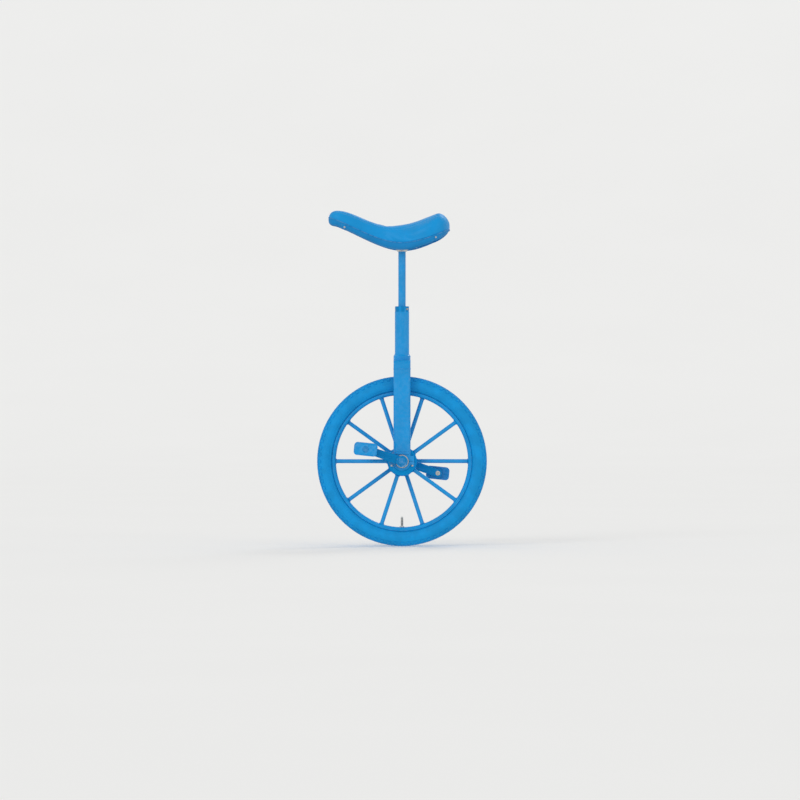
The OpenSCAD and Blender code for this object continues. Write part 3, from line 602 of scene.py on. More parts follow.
def make_finishes(colours):
    """Every finish, by the record's slot that it belongs to, and the coloured caps' own."""
    return {
        "frame_paint": powder_coat("gloss_powder_coat", colours.paint, 0.32),
        "post_metal": powder_coat("post_powder_coat", colours.paint, 0.36),
        "spoke_paint": powder_coat("spoke_powder_coat", colours.paint, 0.30),
        "rim_metal": powder_coat("satin_powder_coat", colours.paint, 0.15),
        "hub_metal": turned_aluminium("anodised_hub", colours.anodised, AXLE),
        "crank_metal": turned_aluminium("anodised_crank", colours.deep, AXLE),
        "clamp_metal": turned_aluminium("anodised_clamp", colours.deep, (0, 0, 0)),
        "plain_steel": zinc_steel("zinc_plate", colours.steel),
        "nylon": moulded_plastic("dark_nylon", colours.nylon, 0.5 * MM, 0.03 * MM, 0.38),
        "tyre_rubber": tyre_compound("coloured_tyre_rubber", colours.rubber),
        "tube_rubber": soft_rubber("butyl", colours.butyl, 0.55),
        "tread_rubber": soft_rubber("pedal_rubber", colours.tread, 0.60),
        "pedal_plastic": moulded_plastic("pedal_plastic_fine", colours.plastic, 0.5 * MM, 0.05 * MM, 0.40),
        "base_plastic": moulded_plastic("base_plastic_fine", colours.base, 0.7 * MM, 0.06 * MM, 0.42),
        "bumper_plastic": moulded_plastic("bumper_plastic_coarse", colours.bumper, 1.1 * MM, 0.14 * MM, 0.50),
        "cover_fabric": grained_vinyl("grained_vinyl", colours.vinyl),
        "foam": soft_rubber("foam_skin", slot_colour("foam"), 0.85),
        "cap": moulded_plastic("coloured_nylon", colours.deep, 0.5 * MM, 0.03 * MM, 0.38),
    }


def finish_for(slot):
    """The finish made for a slot, once the finishes are made."""
    return bpy.data.materials[bpy.context.scene["unicycle_finishes"][slot]]


class UNICYCLE_OT_finishes(bpy.types.Operator):
    """Makes the finishes and paints the frame's own nodes"""

    bl_idname = "unicycle.finishes"
    bl_label = "Finishes"

    # Nylon caps that show from the side are moulded in the crank's colour
    CAPS = ("crank_dust_caps", "left_pedal_cap", "right_pedal_cap")

    def execute(self, context):
        made = make_finishes(context.scene.unicycle_colours)
        context.scene["unicycle_finishes"] = {slot: finish.name for slot, finish in made.items()}
        for name, obj in frame["nodes"].items():
            for place in obj.material_slots:
                slot = "cap" if name in self.CAPS else place.material.name.split(".")[0]
                place.material = made[slot]
        return {"FINISHED"}


class UNICYCLE_OT_edges(bpy.types.Operator):
    """Rounds the machined and cast edges of the frame's own nodes"""

    bl_idname = "unicycle.edges"
    bl_label = "Rounded edges"

    # Nodes that are curved all over, or that other pieces stand for, keep their edges
    PLAIN = {
        "tyre", "inner_tube", "rim_tape", "rim", "seat_cover", "seat_foam", "seat_base", "front_bumper",
        "rear_bumper", "left_bearing_balls", "right_bearing_balls", "valve_stem",
    }

    def execute(self, context):
        width = context.scene.unicycle_sizes.edge_round
        for name, obj in frame["nodes"].items():
            if name in self.PLAIN:
                continue
            add_modifier(obj, "WELD", merge_threshold=0.004 * MM)
            add_modifier(obj, "DECIMATE", decimate_type="DISSOLVE", angle_limit=math.radians(0.4))
            add_modifier(
                obj, "BEVEL", width=width, segments=2, limit_method="ANGLE", angle_limit=math.radians(38)
            )
            add_modifier(obj, "WEIGHTED_NORMAL", weight=90)
        return {"FINISHED"}


# ---------------------------------------------------------------- wheel


def tread_mask(angle):
    """1 across the tread of the tyre's section, 0 on its walls; the angle is from the crown."""
    start, end = math.radians(56), math.radians(63)
    share = min(1, max(0, (end - abs(angle)) / (end - start)))
    return share * share * (3 - 2 * share)


def section_place(radius, angle):
    """(distance from the axle, distance along it) of a point of the tyre's section."""
    return SECTION_MID_R + radius * math.cos(angle), radius * math.sin(angle)


def tyre_outline(lug_height):
    """The closed outline of the tyre's carcass, from one bead over the crown to the other and back inside."""
    edge = math.radians(128)
    steps = 64
    inner_edge = math.radians(140)
    inner_steps = 32
    ridge_half = math.radians(3.4)
    wall = 3.5 * MM
    rest = 0.05 * MM
    bead_y = RIM_HALF - 2 * MM
    bead_r = FLANGE_R - 6 * MM
    ridges = {math.radians(72): 0.5 * MM, math.radians(80): 0.35 * MM, math.radians(117): 0.7 * MM}
    outer = []
    for step in range(steps + 1):
        angle = -edge + 2 * edge * step / steps
        radius = SECTION_R - lug_height * tread_mask(angle)
        for place, height in ridges.items():
            radius -= height * max(0, 1 - ((abs(angle) - place) / ridge_half) ** 2) ** 2
        outer.append(section_place(radius, angle))
    bead = [
        (FLANGE_R + 1.1 * MM, bead_y + 3 * MM),
        (FLANGE_R + 0.5 * MM, bead_y),
        (bead_r + rest, bead_y),
        (bead_r + rest, bead_y - 3 * MM),
    ]
    inner = []
    for step in range(inner_steps + 1):
        angle = inner_edge - 2 * inner_edge * step / inner_steps
        inner.append(section_place(SECTION_R - wall, angle))
    mirrored_bead = [(radius, -side) for radius, side in reversed(bead)]
    return outer + bead + inner + mirrored_bead


def tread_lug(name, across, width, length, slant, height):
    """One block of tread, modelled flat and then laid over the tyre's section at the top of the wheel."""
    sunk = 0.5 * MM
    lug = primitive("cube", name, size=1)
    size = Vector((length, width, height + sunk))
    middle = Vector((0, 0, (height - sunk) / 2))
    move_points(lug, lambda p: p * size + middle)

    def on_top(edge):
        return all(lug.data.vertices[v].co.z > 0 for v in edge.vertices)

    reshape(lug, "edges", on_top, "bevel", offset=0.45 * MM, segments=1)
    for share in (-1 / 6, 1 / 6):
        cut = {"plane_co": (0, width * share, 0), "plane_no": (0, 1, 0)}
        reshape(lug, "vertices", everything, "bisect", **cut)

    def lay(p):
        flat_x = p.x + slant * p.y
        angle = (across + p.y) / SECTION_R
        radius, side = section_place(SECTION_R - height + p.z, angle)
        around = flat_x / TYRE_R
        return AXLE + Vector((radius * math.sin(around), side, radius * math.cos(around)))

    move_points(lug, lay)
    return lug


class UNICYCLE_OT_tyre(bpy.types.Operator):
    """Turns the tyre's carcass and lays its blocks of tread round it"""

    bl_idname = "unicycle.tyre"
    bl_label = "Tyre"

    # (distance from the crown's line, width, length, slant) of the blocks of one pitch, right of the line
    BLOCKS = ((3.6, 5.4, 8.6, 0.55), (11.2, 6.6, 13.4, 0.35), (20.0, 7.6, 9.6, -0.12))

    def execute(self, context):
        sizes = context.scene.unicycle_sizes
        carcass = turned("tyre_carcass", tyre_outline(sizes.lug_height), 150)
        lugs = []
        half_pitch = TURN / sizes.lug_rows / 2
        for side in (-1, 1):
            for index, (across, width, length, slant) in enumerate(self.BLOCKS):
                lug = tread_lug(
                    "lug", side * across * MM, width * MM, length * MM, side * slant, sizes.lug_height
                )
                shift = half_pitch * ((index + (side > 0)) % 2)
                lug.data.transform(about(AXLE, shift, "Y"))
                lugs.append(lug)
        tread = join(lugs, "tread")
        edit(tread, "vertices", everything)
        bpy.ops.mesh.spin(
            steps=sizes.lug_rows - 1,
            angle=TURN * (sizes.lug_rows - 1) / sizes.lug_rows,
            center=AXLE,
            axis=(0, 1, 0),
            dupli=True,
        )
        bpy.ops.mesh.select_all(action="SELECT")
        bpy.ops.mesh.normals_make_consistent(inside=False)
        leave_edit()
        smooth(carcass, 50)
        smooth(tread, 20)
        tyre = join([carcass, tread], "tyre_skin")
        deliver(tyre, "wheel", "tyre_rubber", "tyre")
        return {"FINISHED"}


def rim_outline():
    """The closed outline of the rim, its well and its hooked flanges."""
    inner = SPOKE_OUT_R + 0.05 * MM
    bed = inner + 2.5 * MM
    seat = FLANGE_R - 6 * MM
    half = [
        (inner, 0), (inner, 7.6 * MM), (inner + 0.25 * MM, 9.6 * MM), (inner + 0.9 * MM, 11.6 * MM),
        (inner + 2.0 * MM, 13.6 * MM), (inner + 3.2 * MM, 15.1 * MM), (inner + 4.4 * MM, 15.8 * MM),
        (inner + 5.4 * MM, RIM_HALF), (inner + 6.3 * MM, RIM_HALF), (inner + 6.5 * MM, RIM_HALF - 0.35 * MM),
        (inner + 7.1 * MM, RIM_HALF - 0.35 * MM), (inner + 7.3 * MM, RIM_HALF),
        (FLANGE_R - 0.8 * MM, RIM_HALF), (FLANGE_R - 0.2 * MM, RIM_HALF - 0.3 * MM),
        (FLANGE_R, RIM_HALF - 0.9 * MM), (FLANGE_R - 0.3 * MM, RIM_HALF - 1.7 * MM),
        (FLANGE_R - 1.2 * MM, RIM_HALF - 2 * MM),
        (seat, RIM_HALF - 2 * MM), (seat, RIM_HALF - 6.9 * MM), (bed, RIM_HALF - 7.5 * MM), (bed, 0),
    ]
    return half + [(radius, -side) for radius, side in reversed(half[1:-1])]


class UNICYCLE_OT_rim(bpy.types.Operator):
    """Turns the rim with its wear line and hooked flanges"""

    bl_idname = "unicycle.rim"
    bl_label = "Rim"

    def execute(self, context):
        rim = turned("rim_hoop", rim_outline(), 180)
        smooth(rim, 40)
        deliver(rim, "wheel", "rim_metal", "rim")
        return {"FINISHED"}


def spoke_line(index):
    """A spoke's foot in the hub, its tip at the rim, and the way straight out from the axle."""
    low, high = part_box("spoke_%02d" % (index + 1))
    side = 1 if low.y + high.y > 0 else -1
    angle = TURN * index / SPOKES
    # The first spoke lies along X, so its box gives the slant that all of them share
    foot_r = SPOKE_BOX[0].x
    foot_y = (SPOKE_BOX[1].y - SPOKE_R) * side
    tip_y = (SPOKE_BOX[0].y + SPOKE_R) * side
    out = Vector((math.cos(angle), 0, math.sin(angle)))
    foot = AXLE + out * foot_r + Vector((0, foot_y, 0))
    tip = AXLE + out * SPOKE_OUT_R + Vector((0, tip_y, 0))
    return foot, tip, out


class UNICYCLE_OT_collars(bpy.types.Operator):
    """Sets a rolled collar round each spoke at the rim, and one where it leaves the hub"""

    bl_idname = "unicycle.collars"
    bl_label = "Spoke collars"

    def execute(self, context):
        bead = context.scene.unicycle_sizes.collar_r
        for name, body_r, slot, lift in (
            ("rim_collars", SPOKE_OUT_R, "rim_metal", -bead * 0.55),
            ("hub_collars", HUB_R, "hub_metal", bead * 0.35),
        ):
            rings = []
            for index in range(SPOKES):
                foot, tip, out = spoke_line(index)
                along = (tip - foot).normalized()
                reach = (body_r + lift - (foot - AXLE).dot(out)) / along.dot(out)
                ring = primitive(
                    "torus", "collar", major_radius=SPOKE_R + bead * 0.5, minor_radius=bead,
                    major_segments=40, minor_segments=12,
                )
                ring.data.transform(Matrix.Translation(foot + along * reach) @ facing(along))
                rings.append(ring)
            collars = join(rings, name)
            smooth(collars, 60)
            deliver(collars, "wheel", slot)
        return {"FINISHED"}


class UNICYCLE_OT_valve(bpy.types.Operator):
    """Turns the valve stem with its thread, its shoulder and the pin of its core"""

    bl_idname = "unicycle.valve"
    bl_label = "Valve"

    def execute(self, context):
        pitch = context.scene.unicycle_sizes.thread_pitch
        low, top = STEM_BOX[0].z, STEM_BOX[1].z
        shank_r, crest_r, bore_r, flange_r = 4.15 * MM, 3.85 * MM, 2.6 * MM, STEM_BOX[1].x
        thread_z = AXLE.z - SPOKE_OUT_R + 4.5 * MM
        root_r = crest_r - 0.45 * MM
        middle_r = 0.01 * MM
        lip_r = 3.1 * MM
        end = top - low
        bore_end = end - 9 * MM
        outline = [
            (middle_r, 0), (flange_r - 0.3 * MM, 0), (flange_r, 0.3 * MM),
            (flange_r - 0.6 * MM, 0.9 * MM), (shank_r + 0.8 * MM, 1.2 * MM), (shank_r, 2.4 * MM),
            (shank_r, thread_z - low - 0.6 * MM),
        ]
        z = thread_z - low
        while z + pitch < end - 3.2 * MM:
            outline += [(root_r, z), (crest_r, z + pitch * 0.38), (crest_r, z + pitch * 0.62)]
            z += pitch
        outline += [
            (root_r, z), (root_r, end - 2.8 * MM), (lip_r, end - 2.4 * MM), (lip_r, end - 0.3 * MM),
            (2.8 * MM, end), (bore_r, end), (bore_r, bore_end), (middle_r, bore_end),
        ]
        stem = turned("valve_barrel", outline, 40, Vector((AXLE.x, AXLE.y, low)), (0, 0, 1))
        core = (
            (0.01, -8), (2.2, -8), (2.2, -2.4), (1.7, -2), (0.9, -2), (0.8, -0.9), (0.5, -0.6), (0.01, -0.6)
        )
        core = [(radius * MM, height * MM) for radius, height in core]
        pin = turned("core", core, 20, Vector((AXLE.x, AXLE.y, top)), (0, 0, 1))
        valve = join([stem, pin], "valve_body")
        smooth(valve, 30)
        deliver(valve, "wheel", "plain_steel", "valve_stem")
        return {"FINISHED"}


# ---------------------------------------------------------------- fork


def oval_walk(length, width, share):
    """A point and its outward direction on a flat oval, at a share of the way round it."""
    r = width / 2
    straight = length - width
    total = 2 * straight + TURN * r
    s = (share % 1) * total
    if s < straight:
        return Vector((-straight / 2 + s, -r, 0)), Vector((0, -1, 0))
    s -= straight
    if s < math.pi * r:
        a = -math.pi / 2 + s / r
        out = Vector((math.cos(a), math.sin(a), 0))
        return Vector((straight / 2, 0, 0)) + out * r, out
    s -= math.pi * r
    if s < straight:
        return Vector((straight / 2 - s, r, 0)), Vector((0, 1, 0))
    s -= straight
    a = math.pi / 2 + s / r
    out = Vector((math.cos(a), math.sin(a), 0))
    return Vector((-straight / 2, 0, 0)) + out * r, out


def weld_bead(name, centre, length, width, radius, ripple=2.6 * MM):
    """A rippled weld bead round an oval or round joint; it is a torus laid along the joint."""
    r = width / 2
    way_round = 2 * (length - width) + TURN * r
    ripples = round(way_round / ripple)
    thin = 0.25
    bead = primitive(
        "torus", name, major_radius=1, minor_radius=thin, major_segments=ripples * 4, minor_segments=8
    )

    def lay(p):
        share = math.atan2(p.y, p.x) / TURN + 0.5
        wave = abs(math.sin(share * math.pi * ripples))
        place, out = oval_walk(length, width, share)
        size = radius * (0.78 + 0.22 * wave)
        outwards = (math.hypot(p.x, p.y) - 1) / thin
        return centre + place + out * (outwards * size * 0.8) + Vector((0, 0, p.z / thin * size))

    move_points(bead, lay)
    tidy_mesh(bead)
    return bead


class UNICYCLE_OT_welds(bpy.types.Operator):
    """Lays the weld beads of the neck, the legs and the fork ends"""

    bl_idname = "unicycle.welds"
    bl_label = "Welds"

    CROWN_DEPTH = 43 * MM

    def execute(self, context):
        size = context.scene.unicycle_sizes.weld_size
        leg_l = LEG_BOX[1].x - LEG_BOX[0].x
        leg_w = LEG_BOX[1].y - LEG_BOX[0].y
        leg_y = (LEG_BOX[1].y + LEG_BOX[0].y) / 2
        crown_under = CROWN_BOX[1].z - self.CROWN_DEPTH
        beads = [weld_bead("neck_weld", Vector((0, 0, CROWN_BOX[1].z)), 2 * NECK_R, 2 * NECK_R, size)]
        for side in (-1, 1):
            for z in (crown_under, LEG_BOX[0].z):
                beads.append(weld_bead("leg_weld", Vector((0, side * leg_y, z)), leg_l, leg_w, size * 0.7))
        welds = join(beads, "weld_beads")
        smooth(welds, 70)
        deliver(welds, "frame", "frame_paint")
        return {"FINISHED"}


# ---------------------------------------------------------------- pedals


def pedal_place(side):
    """The middle of a pedal's outer end."""
    low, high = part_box(side + "_pedal_cap")
    centre = (low + high) / 2
    centre.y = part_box(side + "_pedal_body")[0 if side == "left" else 1].y
    return centre


def rounded_outline(length, width, corner, steps=8):
    """The points of a rectangle with round corners, in order."""
    points = []
    for quarter, (sx, sy) in enumerate(((1, 1), (-1, 1), (-1, -1), (1, -1))):
        middle = Vector((sx * (length / 2 - corner), sy * (width / 2 - corner)))
        for step in range(steps + 1):
            a = math.pi / 2 * (quarter + step / steps)
            points.append(middle + Vector((math.cos(a), math.sin(a))) * corner)
    return points


class UNICYCLE_OT_pedals(bpy.types.Operator):
    """Adds the raised border and the peened rod ends of each pedal's outer plate"""

    bl_idname = "unicycle.pedals"
    bl_label = "Pedals"

    LENGTH = 69 * MM
    WIDTH = 38 * MM
    CORNER = 10 * MM
    TILT = math.radians(6)
    ROD_X = 23.6 * MM

    def execute(self, context):
        for side in PEDAL_SIDES:
            centre = pedal_place(side)
            tilt = about(centre, self.TILT, "Y")
            border = []
            for point in rounded_outline(self.LENGTH - 5 * MM, self.WIDTH - 5 * MM, self.CORNER - 2.5 * MM):
                border.append(centre + Vector((point.x, 0, point.y)))
            parts = [swept("border", border, 0.9 * MM, closed=True, sides=3)]
            for x in (-self.ROD_X, self.ROD_X):
                head = primitive("uv_sphere", "rod_end", segments=24, ring_count=12, radius=3.4 * MM)
                head.data.transform(
                    Matrix.Translation(centre + Vector((x, 0, 0))) @ Matrix.Diagonal((1, 0.3, 1, 1))
                )
                parts.append(head)
            trim = join(parts, side + "_pedal_border")
            trim.data.transform(tilt)
            smooth(trim, 60)
            deliver(trim, side + "_pedal", "pedal_plastic")
        return {"FINISHED"}


# ---------------------------------------------------------------- saddle
# Each line is a chain of Bezier curves of (x, height) or (x, half width), in millimetres from SADDLE.

TOP_LINE = (
    ((-220, 96), (-220, 116), (-208, 124), (-194, 124)),
    ((-194, 124), (-142, 124), (-96, 77), (-21, 77)),
    ((-21, 77), (27, 77), (64, 95), (103, 114)),
    ((103, 114), (119, 122), (143, 99), (143, 75)),
)
UNDER_LINE = (
    ((-220, 96), (-220, 76), (-203, 78), (-195, 75)),
    ((-195, 75), (-145, 57), (-58, 0), (8, 0)),
    ((8, 0), (39, 0), (67, 10), (105, 28)),
    ((105, 28), (121, 36), (143, 55), (143, 75)),
)
PARTING_LINE = (
    ((-226, 104), (-166, 90), (-75, 26), (0, 26)),
    ((0, 26), (50, 26), (110, 49), (150, 72)),
)
PLAN_LINE = (
    ((-220, 0), (-220, 26), (-206, 40), (-178, 40)),
    ((-178, 40), (-120, 40), (-90, 37), (-60, 38)),
    ((-60, 38), (-10, 44), (20, 90), (80, 90)),
    ((80, 90), (118, 90), (143, 61.2), (143, 0)),
)
# The least half size of a section, so that none closes to a point
LEAST_HALF = 0.0005
CROWN_ROUNDNESS = 0.78
SKIRT_ROUNDNESS = 0.42
NOSE_X = TOP_LINE[0][0][0]
TAIL_X = TOP_LINE[-1][3][0]


def bezier(curve, t):
    a, b, c, d = curve
    weights = ((1 - t) ** 3, 3 * (1 - t) ** 2 * t, 3 * (1 - t) * t * t, t ** 3)
    return tuple(sum(w * p[axis] for w, p in zip(weights, (a, b, c, d))) for axis in (0, 1))


def line_at(line, x):
    """The height or half width of a line at x, by halving."""
    curve = next((each for each in line if x <= each[3][0]), line[-1])
    low, high = 0.0, 1.0
    for _ in range(26):
        middle = (low + high) / 2
        if bezier(curve, middle)[0] < x:
            low = middle
        else:
            high = middle
    return bezier(curve, (low + high) / 2)[1]


class SaddleSection:
    """The saddle's cross-section at x, in millimetres: a rounded form, drawn in by an inset."""

    def __init__(self, x, inset=0.0, plan_x=None):
        plan_x = x if plan_x is None else plan_x
        shape_x = min(x, plan_x)
        top = line_at(TOP_LINE, shape_x)
        under = line_at(UNDER_LINE, shape_x)
        self.x = x
        self.middle = (top + under) / 2
        self.half_h = max(LEAST_HALF, (top - under) / 2 - inset)
        self.half_w = max(LEAST_HALF, line_at(PLAN_LINE, plan_x) - inset)
        share = (line_at(PARTING_LINE, x) - self.middle) / self.half_h
        share = min(1.0, max(-1.0, share))
        power = CROWN_ROUNDNESS if share > 0 else SKIRT_ROUNDNESS
        self.parting = math.copysign(math.asin(abs(share) ** (1 / power)), share)

    def point(self, angle):
        """The point at an angle from +Y towards +Z."""
        power = CROWN_ROUNDNESS if math.sin(angle) > 0 else SKIRT_ROUNDNESS
        y = math.copysign(abs(math.cos(angle)) ** power, math.cos(angle)) * self.half_w
        z = math.copysign(abs(math.sin(angle)) ** power, math.sin(angle)) * self.half_h
        return Vector((self.x, y, self.middle + z))

    def walk(self, start, end, count):
        """Evenly spaced points from one angle to another."""
        fine = [self.point(start + (end - start) * i / 160) for i in range(161)]
        return even_points(fine, count)

    def lip_angle(self, lip):
        """The angle at which the lip under the edge ends."""
        share = max(0.0, (self.half_w - lip) / self.half_w)
        return -math.acos(share ** (1 / SKIRT_ROUNDNESS)) if share > 0 else -math.pi / 2


def even_points(points, count):
    """count + 1 points at even distances along a chain of points."""
    lengths = [0.0]
    for first, second in zip(points, points[1:]):
        lengths.append(lengths[-1] + (second - first).length)
    result = []
    spot = 0
    for index in range(count + 1):
        target = lengths[-1] * index / count
        while spot < len(points) - 2 and lengths[spot + 1] < target:
            spot += 1
        gap = lengths[spot + 1] - lengths[spot]
        share = (target - lengths[spot]) / gap if gap > 1e-9 else 0.0
        result.append(points[spot].lerp(points[spot + 1], min(1.0, max(0.0, share))))
    return result


def crossing(first, second, x0, x1, drop=0.0):
    """The x between x0 and x1 at which two lines cross, the first one lowered by a drop."""
    sign = line_at(first, x0) - drop - line_at(second, x0)
    for _ in range(40):
        middle = (x0 + x1) / 2
        if (line_at(first, middle) - drop - line_at(second, middle)) * sign > 0:
            x0 = middle
        else:
            x1 = middle
    return (x0 + x1) / 2


def eased(x0, x1, share):
    """Stations that close up towards both ends, as on a rounded form."""
    return (x0 + x1) / 2 - (x1 - x0) / 2 * math.cos(math.pi * share)


def in_place(p):
    """From the saddle's millimetres to metres."""
    return SADDLE + p * MM


COVER_ROWS = 116
COVER_COLUMNS = 64
COVER_UNDER = 10
COVER_START = crossing(TOP_LINE, PARTING_LINE, -212, NOSE_X + 0.05) + 0.1
# The column of the side seam, counted from the cover's lower edge
SEAM_COLUMN = 17


def cover_rings(inset):
    """Rings of points: over the top from the right edge to the left, then back underneath."""
    rings = []
    nose = crossing(TOP_LINE, PARTING_LINE, -205, NOSE_X + 0.05, inset)
    tail = TAIL_X - 0.3 - inset
    for row in range(COVER_ROWS + 1):
        x = eased(nose, tail, row / COVER_ROWS)
        behind = max(0.0, x - 40) / (tail - 40)
        section = SaddleSection(x, inset, x + (TAIL_X - tail) * behind ** 2)
        over = section.walk(section.parting, math.pi - section.parting, COVER_COLUMNS)
        under = [over[-1].lerp(over[0], step / COVER_UNDER) for step in range(1, COVER_UNDER + 1)]
        rings.append(over + under)
    return rings


FILL_FRAMES = 20
FILL_PRESSURE = 4.0
VINYL_STIFFNESS = 14
VINYL_BENDING = 0.6


def swell(obj, pinned, cap):
    """Fills a sewn cover as air would, its edge pinned, and moves no point further than the cap."""
    flat = [vertex.co.copy() for vertex in obj.data.vertices]
    group = obj.vertex_groups.new(name="edge")
    group.add(pinned, 1.0, "REPLACE")
    cloth = obj.modifiers.new("Filling", "CLOTH")
    cloth.settings.use_pressure = True
    cloth.settings.uniform_pressure_force = FILL_PRESSURE
    cloth.settings.effector_weights.gravity = 0
    cloth.settings.vertex_group_mass = group.name
    cloth.settings.quality = 5
    cloth.settings.tension_stiffness = VINYL_STIFFNESS
    cloth.settings.compression_stiffness = VINYL_STIFFNESS
    cloth.settings.bending_stiffness = VINYL_BENDING
    cloth.collision_settings.use_collision = False
    cloth.point_cache.frame_start = 1
    cloth.point_cache.frame_end = FILL_FRAMES
    for number in range(1, FILL_FRAMES + 1):
        bpy.context.scene.frame_set(number)
    swollen = obj.evaluated_get(bpy.context.evaluated_depsgraph_get()).data
    moved = [vertex.co.copy() for vertex in swollen.vertices]
    obj.modifiers.remove(cloth)
    bpy.context.scene.frame_set(1)
    for vertex, start, end in zip(obj.data.vertices, flat, moved):
        step = end - start
        if step.length > cap:
            step *= cap / step.length
        vertex.co = start + step
    obj.data.update()


class UNICYCLE_OT_cover(bpy.types.Operator):
    """Sews the saddle's cover, fills it, draws its seams in and adds the stitches"""

    bl_idname = "unicycle.cover"
    bl_label = "Saddle cover"

    # Width of the channel that a seam draws in, how far its stitches stand to the side, and the thread
    CHANNEL = 3.0 * MM
    STITCH_OFFSET = 3.4 * MM
    THREAD = (0.9 * MM, 0.7 * MM)
    THREAD_LIFT = 0.12 * MM

    def execute(self, context):
        sizes = context.scene.unicycle_sizes
        around = COVER_COLUMNS + COVER_UNDER
        rings = cover_rings(sizes.cover_inset / MM)
        cover = wrapped(
            "saddle_cover", COVER_ROWS, around,
            lambda u, v: in_place(rings[round(u * COVER_ROWS)][round(v * around)]),
        )
        edge_points = {self.spot(in_place(ring[i])) for ring in rings for i in (0, COVER_COLUMNS)}
        seams = self.seam_paths(rings)
        tidy_mesh(cover)
        pinned = [v.index for v in cover.data.vertices if self.spot(v.co) in edge_points]
        swell(cover, pinned, sizes.cover_cap)
        self.draw_in(cover, seams, sizes.seam_depth)
        add_modifier(cover, "SUBSURF", levels=1, render_levels=1)
        apply_modifiers(cover)
        smooth(cover, 70)
        deliver(cover, "saddle", "cover_fabric", "seat_cover", "seat_foam")
        self.stitch(cover, seams, sizes, context.scene.unicycle_colours.thread)
        return {"FINISHED"}

    def spot(self, point):
        """A point's place to the micrometre, to look it up by."""
        return tuple(round(c, 6) for c in point)

    def seam_paths(self, rings):
        """The two side seams, from behind the nose to the tail."""
        paths = []
        for column in (SEAM_COLUMN, COVER_COLUMNS - SEAM_COLUMN):
            paths.append([in_place(ring[column]) for ring in rings[3:-3]])
        return paths

    def draw_in(self, cover, seams, depth):
        """Presses a narrow channel along each seam."""
        width = self.CHANNEL
        normals = [vertex.normal.copy() for vertex in cover.data.vertices]
        for vertex, normal in zip(cover.data.vertices, normals):
            near = min(self.distance(vertex.co, path) for path in seams)
            vertex.co -= normal * depth * math.exp(-((near / width) ** 2))
        cover.data.update()

    def distance(self, point, path):
        """The distance to a path, looked for among its stretches near the point's x."""
        best = 1.0
        for first, second in zip(path, path[1:]):
            if abs(first.x - point.x) < 12 * MM:
                line = second - first
                share = min(1, max(0, (point - first).dot(line) / max(line.length_squared, 1e-12)))
                best = min(best, (point - first - line * share).length)
        return best

    def stitch(self, cover, seams, sizes, colour):
        """Lays a row of stitches either side of each seam."""
        pattern = primitive("uv_sphere", "stitch", segments=6, ring_count=4, radius=0.5)
        pattern.data.transform(Matrix.Diagonal((sizes.stitch_length, *self.THREAD, 1)))
        stitches = []
        for path in seams:
            length = sum((b - a).length for a, b in zip(path, path[1:]))
            spots = even_points(path, round(length / sizes.stitch_pitch))
            for here, ahead in zip(spots, spots[1:]):
                _, middle, normal, _ = cover.closest_point_on_mesh((here + ahead) / 2)
                along = (ahead - here).normalized()
                across = normal.cross(along).normalized()
                for side in (-1, 1):
                    _, place, up, _ = cover.closest_point_on_mesh(middle + across * side * self.STITCH_OFFSET)
                    turn = Matrix((along, up.cross(along).normalized(), up)).transposed().to_4x4()
                    lift = Matrix.Translation(place + up * self.THREAD_LIFT)
                    stitches.append(copy_of(pattern, "stitch", lift @ turn))
        bpy.data.objects.remove(pattern)
        seam = join(stitches, "cover_stitches")
        smooth(seam, 80)
        deliver(seam, "saddle", "cover_fabric", finish=twisted_thread("bonded_thread", colour))


class UNICYCLE_OT_piping(bpy.types.Operator):
    """Runs the trim between the cover and the base, all the way round"""

    bl_idname = "unicycle.piping"
    bl_label = "Saddle piping"

    def execute(self, context):
        radius = context.scene.unicycle_sizes.piping_r
        right, left = [], []
        rows = 150
        points = 320
        for row in range(rows + 1):
            section = SaddleSection(eased(COVER_START, TAIL_X - 0.1, row / rows), 0.6)
            if -math.pi / 2 < section.parting < math.pi / 2:
                right.append(in_place(section.point(section.parting)))
                left.append(in_place(section.point(math.pi - section.parting)))
        loop = right + left[::-1]
        path = even_points(loop + loop[:1], points)[:-1]
        piping = swept("saddle_piping", path, radius, closed=True, sides=2)
        smooth(piping, 80)
        deliver(piping, "saddle", "bumper_plastic")
        return {"FINISHED"}


BASE_ROWS = 150
BASE_SIDE = 26
BASE_DECK = 16


def base_rings(inset, lip):
    """Open rings: from the left lip up the side, across the deck, and down to the right lip."""
    rings = []
    last = crossing(UNDER_LINE, PARTING_LINE, 110, TAIL_X - 0.05)
    for row in range(BASE_ROWS + 1):
        x = eased(NOSE_X + inset, last - 0.2 - inset, row / BASE_ROWS)
        ahead = max(0.0, -160 - x) / (-160 - NOSE_X - inset)
        section = SaddleSection(x, inset, x - inset * ahead ** 2)
        right = section.walk(section.parting, section.lip_angle(lip), BASE_SIDE)
        left = [Vector((p.x, -p.y, p.z)) for p in reversed(right)]
        deck = [left[-1].lerp(right[0], step / BASE_DECK) for step in range(1, BASE_DECK)]
        rings.append(left + deck + right)
    return rings


def base_sheet(name, inset, lip, low_x, high_x):
    """The saddle's base between two places along X, as a sheet."""
    rings = base_rings(inset, lip)
    around = 2 * BASE_SIDE + BASE_DECK
    sheet = wrapped(
        name, BASE_ROWS, around, lambda u, v: in_place(rings[round(u * BASE_ROWS)][round(v * around)])
    )
    for place, outwards in ((low_x, -1), (high_x, 1)):
        if place is None:
            continue
        cut = {"plane_co": (place, 0, 0), "plane_no": (outwards, 0, 0), "clear_outer": True}
        reshape(sheet, "vertices", everything, "bisect", **cut)
    tidy_mesh(sheet)
    return sheet


def strip(name, path, depth, thickness):
    """A rib that hangs from a path by its depth."""
    count = len(path) - 1
    rib = wrapped(name, count, 2, lambda u, v: path[round(u * count)] - Vector((0, 0, depth * v)))
    add_modifier(rib, "SOLIDIFY", thickness=thickness, offset=0)
    apply_modifiers(rib)
    return rib


